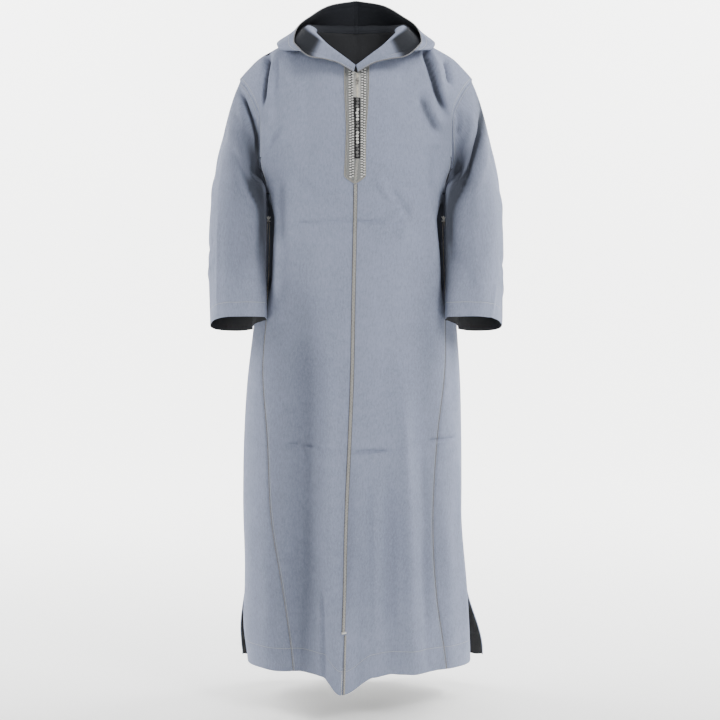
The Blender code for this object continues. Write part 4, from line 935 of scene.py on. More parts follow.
# ---- sleeves ----
# right and left sleeve seen from the front: a is x
SLEEVE_FRONT_CREASES = {
    RIGHT: creases([
        (-300, -150, -268, -330, -6, 15, 4, .2),
        (-240, -430, -290, -500, 4, 13, -3.5, .3),
        (-244, -500, -300, -560, 4, 12, 3, .3),
        (-326, -360, -327, -620, 0, 5, 4, .3),
        (-280, -400, -276, -630, 3, 16, -3, .1),
    ]),
    LEFT: creases([
        (230, -486, 256, -506, 2, 7, -5, .4),
        (250, -504, 272, -542, 2, 7, -5, .4),
        (232, -470, 280, -490, 2, 9, 3, .2),
        (345, -420, 331, -536, 0, 5, 4, .3),
        (331, -526, 310, -634, 0, 5, 4, .3),
        (300, -300, 290, -480, 4, 18, -3, .1),
        (262, -560, 276, -650, 2, 14, 3, .1),
    ]),
}
SLEEVE_GROOVES = {
    RIGHT: grooves([
        (7, -14, .2, -285, -65, -264.2, -113, -247.1, -153, -230, -199, -224, -260),
        (8, 6, 0, -276, -120, -262, -155, -248, -205),
        (15, -10, .2, -300, -200, -274.8, -270, -246.2, -322, -223.2, -370),
        (16, 6, 0, -290, -150, -262, -235, -240, -290),
        (14, -9, 0, -230, -150, -231, -250, -229, -320, -222, -390, -226, -480, -224, -600),
    ]),
    LEFT: grooves([
        (9, -17, .3, 285, -65, 300, -131, 291.4, -188, 272.1, -246, 249.2, -304, 227, -370),
        (12, 7, 0, 262, -125, 268, -170, 256, -220, 240, -260),
        (14, 7, 0, 320, -170, 304, -240, 282, -300, 262, -360),
        (14, -9, 0, 230, -100, 231, -200, 232, -300, 220, -390, 226, -480, 222, -600),
        (6, -6, .2, 232, -128, 240, -160, 232, -200),
    ]),
}
# both sleeves from outside and from behind: a is y, and x
SLEEVE_OUTER_CREASES = creases([
    (-50, -200, 30, -330, 8, 16, -4, .2),
    (50, -180, 0, -380, 6, 18, 4, .2),
    (-60, -460, 40, -500, 4, 12, -3.5, .3),
    (-70, -500, 20, -560, 4, 13, 3, .3),
    (-20, -400, -40, -650, 2, 6, 2.6, .3),
])
SLEEVE_BACK_CREASES = creases([
    (250, -180, 286, -340, 6, 15, -5, .2),
    (250, -420, 320, -470, 4, 13, -4.5, .3),
    (248, -470, 326, -520, 4, 13, 4, .3),
    (300, -300, 306, -420, 3, 18, 3.5, .1),
    (280, -540, 290, -650, 2, 16, -3, .1),
])


def sleeve_relief(side, points, normals):
    """The sum of a sleeve's creases and grooves, each where the cloth faces that way."""
    x, y, z = points[..., 0], points[..., 1], points[..., 2]
    total = crease_relief(SLEEVE_FRONT_CREASES[side], x, z) + groove_relief(SLEEVE_GROOVES[side], x, z)
    total *= facing(normals, (0, -1, 0))
    total += crease_relief(SLEEVE_OUTER_CREASES, y, z + 0.02 * side) * facing(normals, (side, 0, 0))
    total += crease_relief(SLEEVE_BACK_CREASES, side * x, z - 0.015 * side) * facing(normals, (0, 1, 0))
    return total


def armhole_ring(side, word):
    """Points once round the armhole from the shoulder tip, down the front and up the back,
    and an angle for each: its share of the way down or up."""
    grids, _, lower = body_grids()
    down = grids["front_" + word][lower - 1:, -1][::-1]
    rise = grids["back_" + word][lower - 1:, -1]
    under_front = grids["gore_front_" + word][-1]
    under_back = grids["gore_back_" + word][-1][::-1]
    first = np.concatenate([down[:-1], under_front])
    second = np.concatenate([under_back, rise[1:]])
    down_gone, up_gone = length_along(first), length_along(second)
    angle = np.concatenate([down_gone / down_gone[-1] * math.pi,
                            math.pi + up_gone[1:-1] / up_gone[-1] * math.pi])
    return np.concatenate([first, second[1:-1]]), angle


def make_sleeve(side, word):
    """The sleeve: sections from the armhole to the cuff, with its seam dip and creases."""
    loop, loop_angle = armhole_ring(side, word)
    angle, s = np.meshgrid(ring_of(SLEEVE_POINTS), with_edges(SLEEVE_ROWS, 0.6) ** 1.06)
    base = relax(sleeve_surface(side, s, angle, loop, loop_angle), 14, closed=True)
    normals = grid_normals(base, side, True)
    gone = walked(base, 0)
    relief = sleeve_relief(side, base, normals)
    # painted shade along the sleeve's deep creases and its painted shade lines, on the front
    painted_shade = painted_shade_of(relief, SLEEVE_PAINTED_SHADES[side], base, ease(0.5 - base[..., 1] / 0.03))
    relief = relief + seam_dip(gone) - 0.0006 * np.exp(-(gone / 0.002) ** 2)
    points = base + normals * relief[..., None]
    around = np.cumsum(np.linalg.norm(np.roll(base, 1, 1) - base, axis=-1), 1)
    make_cloth("sleeve_" + word, points, grid_normals(points, side, True), side, around, gone,
               gone[-1:] - gone - STITCH_CUFF, gone - STITCH_SEAM, painted_shade, closed=True)


def sleeve_ring(side, s, angle):
    """A point of the sleeve: s runs from the armhole (0) to the cuff (1)."""
    keys = np.linspace(0, 1, len(SLEEVE))
    ring = {name: through(keys, SLEEVE[name], s) for name in SLEEVE.dtype.names}
    cos = power(np.cos(angle), 2 / SLEEVE_SQUARENESS)
    sin = power(np.sin(angle), 2 / SLEEVE_SQUARENESS)
    x = (ring["outer_x"] + ring["inner_x"]) / 2 + (ring["outer_x"] - ring["inner_x"]) / 2 * cos
    z = (ring["outer_z"] + ring["inner_z"]) / 2 + (ring["outer_z"] - ring["inner_z"]) / 2 * cos
    y = ring["mid_y"] - ring["depth"] * sin
    x = x - ring["skew"] * ring["depth"] * sin
    z = z + ring["lift"] * sin
    return np.stack([side * x, y, z], -1)


def sleeve_surface(side, s, angle, loop, loop_angle):
    """The sleeve's sections, eased from the armhole's own curve, kept clear of the skirt."""
    start = np.stack([np.interp(angle, loop_angle, column, period=2 * math.pi) for column in loop.T], -1)
    offset = start - sleeve_ring(side, np.zeros_like(s), angle)
    point = sleeve_ring(side, s, angle) + offset * (1 - ease(s / 0.45))[..., None]
    x, y, z = side * point[..., 0], point[..., 1], point[..., 2]
    inner = ease((0.3 - np.cos(angle)) / 0.6)
    elbow = ELBOW_FOLD_DEPTH * np.exp(-((z - ELBOW_FOLD_Z) / ELBOW_FOLD_WIDTH) ** 2)
    x = x + elbow * inner
    level = np.minimum(z, ARMPIT_Z)
    reach = np.clip(1 - np.abs(y / section_depth(y < 0, level)) ** SQUARENESS, 0, 1) ** (1 / SQUARENESS)
    limit = half_width(side, level) * reach + SLEEVE_CLEARANCE
    below = ease(s / 0.12) * ease((ARMPIT_Z + 0.02 - z) / 0.02)
    x = x + np.maximum(limit - x, 0) * below
    around = ease((TUCK_START - np.cos(angle)) / TUCK_LENGTH) * ease(np.sin(angle) / TUCK_FRONT)
    tuck = SLEEVE_TUCK * around * ease((ARMPIT_Z + TUCK_RISE - z) / TUCK_FALL) * ease(s / 0.05)
    x = x - tuck * np.maximum(x - np.maximum(limit, SLEEVE_TUCK_X), 0)
    return np.stack([side * x, y, z], -1)


def smooth_path(stops, places, w):
    """Points on a smooth path through the stops, which each column reaches at the given places.

    Cubic Hermite pieces; each knot lies the square root of a chord beyond the last.
    """
    stops = np.stack(stops)
    chords = np.diff(stops, axis=0)
    widths = np.sqrt(np.linalg.norm(chords, axis=-1, keepdims=True))
    rates = chords / widths
    between = (widths[1:] * rates[:-1] + widths[:-1] * rates[1:]) / (widths[:-1] + widths[1:])
    bends = np.concatenate([rates[:1], between, rates[-1:]])
    point = np.zeros_like(stops[0])
    for k, width in enumerate(widths):
        part = ((w - places[k]) / (places[k + 1] - places[k]))[..., None]
        inside = (part >= 0) & ((part < 1) | (k == len(widths) - 1))
        piece = hermite(part, width, stops[k], stops[k + 1], bends[k], bends[k + 1])
        point = np.where(inside, piece, point)
    return point


HOOD_STOPS = [0.0, 0.1, 0.2, 0.38, 0.52, 0.6, 0.8, 1.0]
HOOD_ROWS = [0.0, 0.1, 0.2, 0.29, 0.38, 0.45, 0.52, 0.6, 0.7, 0.8, 0.9, 1.0]


def hood_surface(side, u, w, neck_u, neck_direction):
    """A point of the hood: w runs from the neckline (0) over the turned fold to the rim (1).

    The cloth first rises straight on from the neckline, then turns over and lies outwards.
    """
    fold = point_on(side, HOOD, u, "fold_")
    tangent = unit(point_on(side, HOOD, u + HOOD_TANGENT_STEP, "fold_")
                   - point_on(side, HOOD, u - HOOD_TANGENT_STEP, "fold_"))
    rim = point_on(side, HOOD, u, "rim_")
    rim[..., 0] += HOOD_LEAN * np.sin(math.pi * np.clip(u, 0, 1)) ** 2
    start = neckline(side, u)
    onward = np.stack([np.interp(u, neck_u, column) for column in neck_direction.T], -1)
    rise = unit(unit(onward) + np.array([0.0, 0.0, 0.9]))
    back = ease((u - 0.55) / 0.45)
    lifted = unit(np.stack([side * (1 - back), 0.3 + 0.7 * back, 0.9 - 0.5 * back], -1))
    bulged = unit(lifted + np.array([0.0, 0.0, 0.4]))
    away = unit(start * np.array([1.0, 1.0, 0.0]))
    turn = start + HOOD_STAND * rise
    room = np.minimum(0.4 * np.linalg.norm(fold - start, axis=-1), HOOD_CREST)[..., None]
    crest = turn + room * (away + np.array([0.0, 0.0, 0.55]))
    under = (crest + fold) / 2 + read(HOOD, "under", u)[..., None] * lifted
    over = (fold + rim) / 2 + read(HOOD, "over", u)[..., None] * bulged
    inwards = unit(under - fold) + unit(over - fold)
    folded = ease((np.linalg.norm(inwards, axis=-1) - 0.5) / 0.8)[..., None]
    thick = unit(np.cross(inwards, tangent))
    thick = np.where(np.sum(thick * away, -1, keepdims=True) < 0, -thick, thick)
    radius = np.minimum(HOOD_FOLD_SHARE * np.linalg.norm(rim - fold, axis=-1), HOOD_FOLD_RADIUS)
    across = radius[..., None] * unit(folded * thick + (1 - folded) * unit(over - under))
    stops = [start, turn, crest, under, fold - across, fold + across, over, rim]
    return smooth_path(stops, HOOD_STOPS, w)


# ---- hood ----
HOOD_FINE = 8  # rows for each row of the plain form
HOOD_LAP = 0.0004  # how far each half passes the middle at the seam between them
# creases of the hood: a is u along the neckline, z stands for w from neckline to rim
HOOD_CREASES = creases([
    (300, 620, 420, 980, 20, 40, -2.5, .2),
    (550, 620, 600, 980, 20, 35, 3, .2),
    (660, 150, 720, 500, 20, 40, -4, .2),
    (740, 600, 700, 980, 20, 30, -3.5, .2),
    (800, 150, 860, 520, 20, 40, 4.5, .1),
    (860, 600, 840, 980, 10, 30, 3.5, .1),
    (930, 150, 960, 500, 10, 30, -4, .1),
    (930, 620, 940, 980, 10, 25, -3, .1),
])


def hood_normals(side, points):
    """The hood's normals; at the centre seam they lie in the middle plane."""
    normals = grid_normals(points, side)
    normals[:, -1, 0] = 0
    return unit(normals)


@cache
def hood_half(side, word):
    """Half of the hood as a fine grid; its first row is the neckline."""
    grids, across, _ = body_grids()
    parts = []
    for name, start in (("front", 0.0), ("back", 1.0)):
        t, share = across[name], NECK_SHARE[name]
        on_neck = t <= share + 1e-6
        grid = grids[f"{name}_{word}"]
        normals = grid_normals(grid, panel_turn(side, name))
        out = edge_out(grid, normals, (-1, slice(None)), (-5, slice(None)))
        u = start + (NECK_SIDE_U - start) * t[on_neck] / share
        parts.append(np.concatenate([u[:, None], grid[-1][on_neck], out[on_neck]], 1))
    neck = np.concatenate([parts[0], parts[1][::-1][1:]])
    neck[-1, 4] = 0
    u = np.interp(np.linspace(0, 1, 97), np.linspace(0, 1, len(neck)), neck[:, 0])
    w = [np.linspace(a, b, HOOD_FINE + 1)[:-1] for a, b in zip(HOOD_ROWS, HOOD_ROWS[1:])]
    w = np.concatenate(w + [[1.0]])
    grid_u, grid_w = np.meshgrid(u, w)
    points = hood_surface(side, grid_u, grid_w, neck[:, 0], neck[:, 4:])
    points[0] = np.stack([np.interp(u, neck[:, 0], column) for column in neck[:, 1:4].T], -1)
    points[:, -1, 0] = 0
    points = relax(points, 6)
    relief = crease_relief(HOOD_CREASES, grid_u, grid_w) + seam_dip(walked(points, 0))
    relief = relief + seam_dip(walked(points[:, ::-1], 1)[:, ::-1])
    points = points + hood_normals(side, points) * relief[..., None]
    points[:, -1, 0] = -side * HOOD_LAP
    # painted shade over the inner face in the hood's cavity, fading out towards the collar and the neck
    painted_inner_shade = np.maximum(ease((grid_w - 0.21) / 0.06) * ease((grid_u - 0.3) / 0.06),
                        ease((grid_u - 0.57) / 0.05))
    return points, painted_inner_shade


def make_hood_half(side, word):
    """Half of the hood, with painted shade where its inner face shows in the cavity."""
    points, painted_inner_shade = hood_half(side, word)
    across, along = walked(points, 1), walked(points, 0)
    make_cloth("hood_" + word, points, hood_normals(side, points), side, across * side, along,
               along[-1:] - along - STITCH_HOOD, across[:, -1:] - across - STITCH_SEAM,
               (0.0, 0.8 * painted_inner_shade), inside=painted_inner_shade)


# ---- laying trims on the cloth ----
class Lay:
    """A grid of cloth on which trims are laid by their x and z.

    A place is found by walking over the grid: from the nearest of a thinned-out set of grid
    points, steps of Newton's rule bring x and z of the bilinear patch to those wanted.
    """
    THIN = 6
    STEPS = 14

    def __init__(self, points, turn):
        self.points = points
        self.normals = grid_normals(points, turn)

    def read(self, grid, row, column):
        """A grid read between its points, by the four corners of a patch."""
        r = np.clip(np.floor(row).astype(int), 0, grid.shape[0] - 2)
        c = np.clip(np.floor(column).astype(int), 0, grid.shape[1] - 2)
        a, b = (row - r)[:, None], (column - c)[:, None]
        return ((1 - a) * (1 - b) * grid[r, c] + (1 - a) * b * grid[r, c + 1]
                + a * (1 - b) * grid[r + 1, c] + a * b * grid[r + 1, c + 1])

    def at(self, x, z):
        """Points and normals of the cloth at arrays of x and z."""
        shape = np.broadcast(x, z).shape
        want = np.stack([np.broadcast_to(x, shape).ravel(), np.broadcast_to(z, shape).ravel()], -1)
        rows, columns = self.points.shape[:2]
        r, c = np.meshgrid(np.arange(0, rows, self.THIN), np.arange(0, columns, self.THIN), indexing="ij")
        r, c = r.ravel(), c.ravel()
        thin = self.points[r, c][:, [0, 2]]
        start = np.concatenate([np.argmin(((part[:, None] - thin) ** 2).sum(-1), 1)
                                for part in np.array_split(want, max(1, len(want) // 2000))])
        row, column = r[start].astype(float), c[start].astype(float)

        def flat(row, column):
            return self.read(self.points, row, column)[:, [0, 2]]

        def area(one, other):
            return one[:, 0] * other[:, 1] - one[:, 1] * other[:, 0]

        for _ in range(self.STEPS):
            r0, c0 = np.clip(row, 0, rows - 1.001), np.clip(column, 0, columns - 1.001)
            up = flat(np.floor(r0) + 1, c0) - flat(np.floor(r0), c0)
            on = flat(r0, np.floor(c0) + 1) - flat(r0, np.floor(c0))
            gap, patch = want - flat(row, column), area(up, on)
            patch = np.where(np.abs(patch) < 1e-12, 1e-12, patch)
            row = np.clip(row + np.clip(area(gap, on) / patch, -8, 8), 0, rows - 1.001)
            column = np.clip(column + np.clip(area(up, gap) / patch, -8, 8), 0, columns - 1.001)
        points = self.read(self.points, row, column).reshape(*shape, 3)
        return points, unit(self.read(self.normals, row, column)).reshape(*shape, 3)

    def raise_on(self, x, z, height):
        """Points at (x, z) moved out by a height along the cloth's normal."""
        points, normals = self.at(x, z)
        return points + normals * np.broadcast_to(height, points.shape[:-1])[..., None]


@cache
def fronts():
    """Both fronts as one grid to lay trims on."""
    panels, _, _ = body_panels()
    right, left = panels["front_right"]["points"], panels["front_left"]["points"]
    return Lay(np.concatenate([right[:, ::-1], left[:, 1:]], 1), 1)


@cache
def skirt_front():
    """Fronts and front gores below the underarm as one grid."""
    panels, _, lower = body_panels()
    parts = [panels["gore_front_right"]["points"][:, ::-1],
             panels["front_right"]["points"][:lower, -2::-1],
             panels["front_left"]["points"][:lower, 1:], panels["gore_front_left"]["points"][:, 1:]]
    return Lay(np.concatenate(parts, 1), 1)


def even_path(points, step):
    """The same path with even steps."""
    gone = length_along(points)
    at = np.linspace(0, gone[-1], max(2, int(round(gone[-1] / step)) + 1))
    return np.stack([np.interp(at, gone, column) for column in points.T], -1)


def smooth_line(points, rounds):
    """Each inner point moves half way to the middle of its neighbours."""
    for _ in range(rounds):
        points[1:-1] += 0.5 * ((points[:-2] + points[2:]) / 2 - points[1:-1])
    return points


def strand(pile, path, out, ring, radius, value=0.0):
    """A strand along a path, with closed ends; its radius may change along and round it."""
    along = unit(np.gradient(path, axis=0))
    up = unit(out - along * np.sum(out * along, -1, keepdims=True))
    side = np.cross(along, up)
    across = np.cos(ring)[:, None] * side[:, None] + np.sin(ring)[:, None] * up[:, None]
    return pile.add(path[:, None] + radius * across, closed=True, cap=True, value=value, turn=-1)


PLIES = 2
PLY_GROOVE = 0.22  # depth of the groove between two plies, as a share of the radius
PLAIT_TILT = 0.55  # how far a strand of the braid rises and dips, in its own radii


def twisted(pile, path, out, radius, pitch, sides=12):
    """A cord of twisted plies: a strand whose radius swells once for each ply as it turns."""
    ring = ring_of(sides)
    phase = PLIES * (ring - 2 * math.pi * length_along(path)[:, None] / pitch / PLIES)
    swell = radius * (1 - PLY_GROOVE * (1 - np.abs(np.cos(phase / 2))))
    return strand(pile, path, out, ring, swell[..., None])


def plait(path, out, half, pitch, radius):
    """Three strands that cross in turn: each swings from side to side as a sine, and up and
    down as a sine of twice the pace."""
    gone = length_along(path)
    side = unit(np.cross(np.gradient(path, axis=0), out))
    half = np.broadcast_to(half, gone.shape)
    pile = Pile()
    for k in range(3):
        phase = 2 * math.pi * (gone / pitch + k / 3)
        line = path + side * ((half - radius) * np.sin(phase))[:, None]
        line = line + out * (radius * (1 + PLAIT_TILT * np.sin(2 * phase)))[:, None]
        strand(pile, line, out, ring_of(6), radius, k / 3)
    return pile


def pillow(half_a, half_b, height, count=6, square=0.8):
    """A small cushion shape on the plane: a square grid eased to a rounded outline, domed."""
    line = np.linspace(-1, 1, count + 1)
    a, b = np.meshgrid(line, line)
    top = height * np.sqrt(np.clip(1 - np.maximum(np.abs(a), np.abs(b)) ** 2.4, 0, 1))
    round_a, round_b = a * np.sqrt(1 - b * b / 2), b * np.sqrt(1 - a * a / 2)
    return np.stack([(square * a + (1 - square) * round_a) * half_a,
                     (square * b + (1 - square) * round_b) * half_b, top], -1)


def scatter(pile, lay, shape, x, z, lift, value=0.0, tilt=0.0):
    """Copies a small shape to places (x, z) of the cloth; its own third axis stands out of it."""
    points, normals = (part[:, None, None] for part in lay.at(np.atleast_1d(x), z))
    tilt = np.reshape(tilt, (-1, 1, 1))
    a = shape[..., 0] * np.cos(tilt) - shape[..., 1] * np.sin(tilt)
    b = shape[..., 0] * np.sin(tilt) + shape[..., 1] * np.cos(tilt)
    across = unit(np.cross(np.array([0.0, 0.0, 1.0]), -normals))
    up = np.cross(normals, across)
    made = (points + a[..., None] * across + b[..., None] * up
            + (shape[..., 2] + lift)[..., None] * normals)
    under = made - (shape[..., 2] - TRIM_FOOT)[..., None] * normals
    pile.add(made, value=value).add(under, value=value, turn=-1)


# ---- placket ----
PLACKET = table("z right left", [
    (-50, -26.2, 30),
    (-95, -25.6, 29.7),
    (-185, -21.3, 23.3),
    (-247, -24, 22.2),
    (-288, -26.6, 22.6),
    (-293.5, -23.5, 19.6),
    (-300, -13.9, 10.1),
    (-306.8, -2.5, -1.2),
])
PLACKET_FOOT_Z = PLACKET.z[4]  # below this the placket narrows to its tip
ZIP_X = 0.0035
TAPE_HALF = 0.0072
NECK_MARGIN = 0.007  # from the neckline down to the placket's upper end
ZIP_TOP_Z, ZIP_BOTTOM_Z = -0.0545, -0.1115
KNOT_TOP_Z, KNOT_BOTTOM_Z = -0.112, -0.25
TRIM_LIFT = 0.0007
TRIM_FOOT = -0.0004  # the underside of a trim lies this deep in the cloth
PLACKET_HEIGHT = 0.0008
PLACKET_FACE = TRIM_LIFT + PLACKET_HEIGHT
BLOCK_COLUMNS = (-0.0164, -0.0106, 0.0106, 0.0164)  # from the zip's middle
BED_HALF = 0.0062  # half width of the dark bed under a pair of columns
INNER_CORD_INSET = 0.003  # from the outer cord to the thin one inside it
# half width, half height (for blocks and teeth as a share of their pitch) and how far they stand out
BLOCK = (0.0025, 0.3, 0.0016)
TOOTH = (0.0021, 0.42, 0.0011)
KNOT_RADIUS, KNOT_HEIGHT = 0.0033, 0.0034
BAR_TACK = (0.0062, 0.0028, 0.003)
ARROW_TACK = (0.001, 0.0052, 0.0014)
POCKET_TACK = (0.0052, 0.0012, 0.0014)
PATH_STEP = 0.0008
THIN_PITCH = 0.7  # pitch of the thin cords as a share of that of the thick ones


def placket_edge(name, z):
    """The placket's right or left edge at a height, by straight lines."""
    return np.interp(-np.asarray(z), -PLACKET.z, PLACKET[name])


def placket_top(x):
    """Height of the placket's upper end at x: it runs along the neckline."""
    beside = np.maximum(np.abs(x), NECKLINE[0].x)
    return through(NECKLINE.x[:3], NECKLINE.z[:3], beside) - NECK_MARGIN


def column_spread(z):
    """How far the columns of blocks stand apart at a height, as a share of their offsets."""
    return np.interp(-z, [0.09, 0.19], [1.06, 0.96])


def cord_path(lay, x, z, lift):
    """A path on the cloth through places, in even steps, and the cloth's normals there."""
    places = smooth_line(even_path(np.stack([x, z], -1), PATH_STEP), 8)
    points, normals = lay.at(places[:, 0], places[:, 1])
    return points + normals * lift, normals


def laid_cord(pile, lay, x, z, lift, radius, pitch, sides=12):
    """A twisted cord laid on the cloth through places."""
    path, out = cord_path(lay, x, z, lift)
    return twisted(pile, path, out, radius, pitch, sides)


def closed_tape(pile, upper, under, turn=-1, ends=True):
    """A flat piece: its two faces, its long sides, and its ends where they can show."""
    pile.add(upper, turn=turn).add(under, turn=-turn)
    pile.add(np.stack([upper[:, 0], under[:, 0]], 1), turn=-turn)
    pile.add(np.stack([upper[:, -1], under[:, -1]], 1), turn=turn)
    if ends:
        pile.add(np.stack([upper[0], under[0]]), turn=-turn)
        pile.add(np.stack([upper[-1], under[-1]]), turn=turn)
    return pile


def strip(half, top, bottom, rows, columns, low, high, pile=None, middle=0.0):
    """A flat tape on the fronts, crowned across, as a closed piece."""
    z = np.linspace(top, bottom, rows)[:, None]
    part = np.linspace(-1, 1, columns)
    x = ZIP_X + middle * column_spread(z) + half * part
    upper = fronts().raise_on(x, z, low + (high - low) * (1 - np.abs(part) ** 8) ** 0.5)
    return closed_tape(pile or Pile(), upper, fronts().raise_on(x, z, low - 0.001))


def trim(pile, name, finish, replaces=(), weld=True):
    """Places what a pile holds as one piece with its finish."""
    place(name, pile.mesh(name, weld), finishes()[finish], replaces=replaces)


def make_placket_ground():
    """The ground of the placket, crowned across, from the neckline down to its tip."""
    part = np.linspace(0, 1, 31)
    top = placket_top(PLACKET.right[0] + (PLACKET.left[0] - PLACKET.right[0]) * part)
    z = top + (PLACKET.z[-1] - top) * np.linspace(0, 1, 150)[:, None]
    right, left = placket_edge("right", z), placket_edge("left", z)
    x = right + (left - right) * part
    crown = np.sqrt(np.clip(1 - (2 * part - 1) ** 8, 0, 1))
    upper = fronts().raise_on(x, z, TRIM_LIFT + PLACKET_HEIGHT * crown)
    trim(closed_tape(Pile(), upper, fronts().raise_on(x, z, TRIM_FOOT)), "placket_ground", "ground",
         ["placket_right", "placket_left"])


def make_placket_columns():
    """The columns of stitch blocks, and the dark bed under each pair of them."""
    pitch = sizes().block_pitch
    blocks, beds = Pile(), Pile()
    shape = pillow(BLOCK[0], pitch * BLOCK[1], BLOCK[2], square=0.9)
    foot = PLACKET_FOOT_Z - 0.004
    for offset in BLOCK_COLUMNS:
        heights = np.arange(placket_top(ZIP_X + offset) - 0.004, foot, -pitch)
        scatter(blocks, fronts(), shape, ZIP_X + offset * column_spread(heights), heights,
                PLACKET_FACE, value=0.5 + 0.5 * np.sin(np.arange(len(heights)) * 2.4))
    trim(blocks, "placket_blocks", "thread")
    for middle in (sum(BLOCK_COLUMNS[:2]) / 2, sum(BLOCK_COLUMNS[2:]) / 2):
        top = placket_top(ZIP_X + middle + math.copysign(BED_HALF, middle)) - 0.0012
        strip(BED_HALF, top, foot, 120, 7, PLACKET_FACE - 0.0002, PLACKET_FACE + 0.0002, beds, middle)
    trim(beds, "placket_beds", "bed")


def make_placket_cords():
    """The plait below the knots, the cord round the placket, and a thin one inside that."""
    lay, size = fronts(), sizes()
    z = np.linspace(KNOT_BOTTOM_Z - 0.001, BRAID_TOP_Z + 0.002, 80)
    x = np.interp(-z, [-KNOT_BOTTOM_Z, -BRAID_TOP_Z], [ZIP_X, PLACKET.right[-1] + 0.0006])
    path, out = cord_path(lay, x, z, PLACKET_FACE + 0.0002)
    trim(plait(path, out, 0.0034, size.braid_pitch * 0.6, 0.0009), "placket_plait", "braid", weld=False)
    sides = []
    for name in ("right", "left"):
        top = placket_top(PLACKET[name][0])
        z = top + (PLACKET.z[-1] - top) * np.linspace(0, 1, 60)
        sides.append(np.stack([placket_edge(name, z), z]))
    x, z = np.concatenate([sides[0], sides[1][:, ::-1]], 1)
    pile = laid_cord(Pile(), lay, x, z, size.cord_radius + 0.0004, size.cord_radius, size.cord_pitch)
    x = x + (ZIP_X - x) * (INNER_CORD_INSET / np.maximum(np.abs(x - ZIP_X), 0.006))
    laid_cord(pile, lay, x[4:-4], z[4:-4] + 0.0012, PLACKET_FACE + 0.0003, size.seam_cord_radius,
              size.cord_pitch * THIN_PITCH, 8)
    trim(pile, "placket_cord_twisted", "cord", ["placket_cord"], weld=False)


# ---- zip and knots ----
def make_zip_pieces():
    """The zip's tape and its two rows of teeth, which mesh in turn."""
    pile = strip(TAPE_HALF, ZIP_TOP_Z, ZIP_BOTTOM_Z, 30, 9, PLACKET_FACE, PLACKET_FACE + 0.0006)
    trim(pile, "zip_tape_woven", "tape", ["zip_tape"])
    pitch = sizes().tooth_pitch
    heights = np.arange(ZIP_TOP_Z - 0.002, ZIP_BOTTOM_Z + 0.001, -pitch)
    side = np.where(np.arange(len(heights)) % 2 == 0, -1, 1)
    teeth = Pile()
    shape = pillow(TOOTH[0], pitch * TOOTH[1], TOOTH[2], count=4, square=0.9)
    scatter(teeth, fronts(), shape, ZIP_X + side * 0.0008, heights, PLACKET_FACE + 0.0005)
    trim(teeth, "zip_teeth", "teeth")


def knot_shape():
    """A round knot: a dome with two crossing grooves."""
    shape = pillow(KNOT_RADIUS, KNOT_RADIUS, KNOT_HEIGHT, count=12, square=0.15)
    a, b = shape[..., 0] / KNOT_RADIUS, shape[..., 1] / KNOT_RADIUS
    swirl = np.arctan2(b, a) * 2 + 3.2 * np.hypot(a, b)
    shape[..., 2] *= 1 - 0.2 * (0.5 + 0.5 * np.cos(swirl)) * np.clip(np.hypot(a, b) * 1.6, 0, 1)
    return shape


KNOT_SHADES = np.array([0.1, 0.05, 0.16, 0.95, 1.0, 0.9, 1.0, 0.1, 0.22,
                        0.14, 0.95, 1.0, 0.92, 0.98, 0.12, 0.05, 0.18, 0.08])
KNOT_SWAY = 0.0007  # how far the knots stand to either side in turn


def make_knot_pieces():
    """The dark tape below the zip, and its row of round knots."""
    pile = strip(TAPE_HALF, KNOT_TOP_Z, KNOT_BOTTOM_Z, 60, 9, PLACKET_FACE, PLACKET_FACE + 0.0007)
    trim(pile, "knot_tape_woven", "dark", ["knot_tape"])
    turn = np.arange(len(KNOT_SHADES))
    heights = KNOT_TOP_Z - sizes().knot_pitch * (0.55 + turn)
    knots = Pile()
    scatter(knots, fronts(), knot_shape(), ZIP_X + KNOT_SWAY * np.sin(turn * 2.6), heights,
            PLACKET_FACE + 0.0005, value=KNOT_SHADES, tilt=np.linspace(0, 9.0, len(turn)))
    trim(knots, "tape_knots", "knot")


# ---- braids ----
BRAID_TOP_Z = -0.3085
BRAID_HALF_TOP, BRAID_HALF_BOTTOM = 0.005, 0.0044
SLIT_BRAID_HALF = 0.0032


def braid_piece(name, path, out, half, replaced):
    """A plait on a narrow darker ground that shows at both its sides."""
    side = unit(np.cross(np.gradient(path, axis=0), out))[:, None]
    half = np.broadcast_to(half, (len(path),))
    part = np.linspace(-1, 1, 7)
    crown = 0.0006 * (1 - np.abs(part) ** 6)[:, None]
    ground = path[:, None] + side * (half[:, None] * part)[..., None] + out[:, None] * crown
    under = ground - out[:, None] * (crown + 0.0009)
    trim(closed_tape(Pile(), ground, under, 1, False), name + "_ground", "edge", replaced)
    strands = plait(path + out * 0.0001, out, half * 0.7, sizes().braid_pitch * 0.7, 0.001)
    trim(strands, name + "_plait", "braid", weld=False)


def make_braid_pieces():
    """The braid down the centre seam, the one on the slit's edge, and the bar tack between."""
    z = np.linspace(BRAID_TOP_Z, SLIT_TOP_Z, 400)
    path, out = cord_path(fronts(), read(SEAMS, "centre", z), z, TRIM_LIFT)
    half = np.linspace(BRAID_HALF_TOP, BRAID_HALF_BOTTOM, len(path))
    braid_piece("centre", path, out, half, ["centre_braid"])
    front = body_panels()[0]["front_left"]["points"]
    low = front[:, 0, 2] < SLIT_TOP_Z
    x, _, z = front[low, 0][::-1].T
    x = x + SLIT_BRAID_HALF + 0.0006
    path, out = cord_path(Lay(front, LEFT), x[1:], z[1:], TRIM_LIFT)
    braid_piece("slit", path, out, SLIT_BRAID_HALF, ["slit_braid"])
    tack = Pile()
    scatter(tack, fronts(), pillow(*BAR_TACK, count=8), x[0] - 0.003, SLIT_TOP_Z, 0.0008)
    trim(tack, "slit_bar_tack", "thread")


# ---- cords, piping and seams ----
POCKET_TOP_Z, POCKET_BOTTOM_Z = -0.395, -0.6
POCKET_HALF = 0.0032
SEAM_CORD_OFFSET = 0.0028


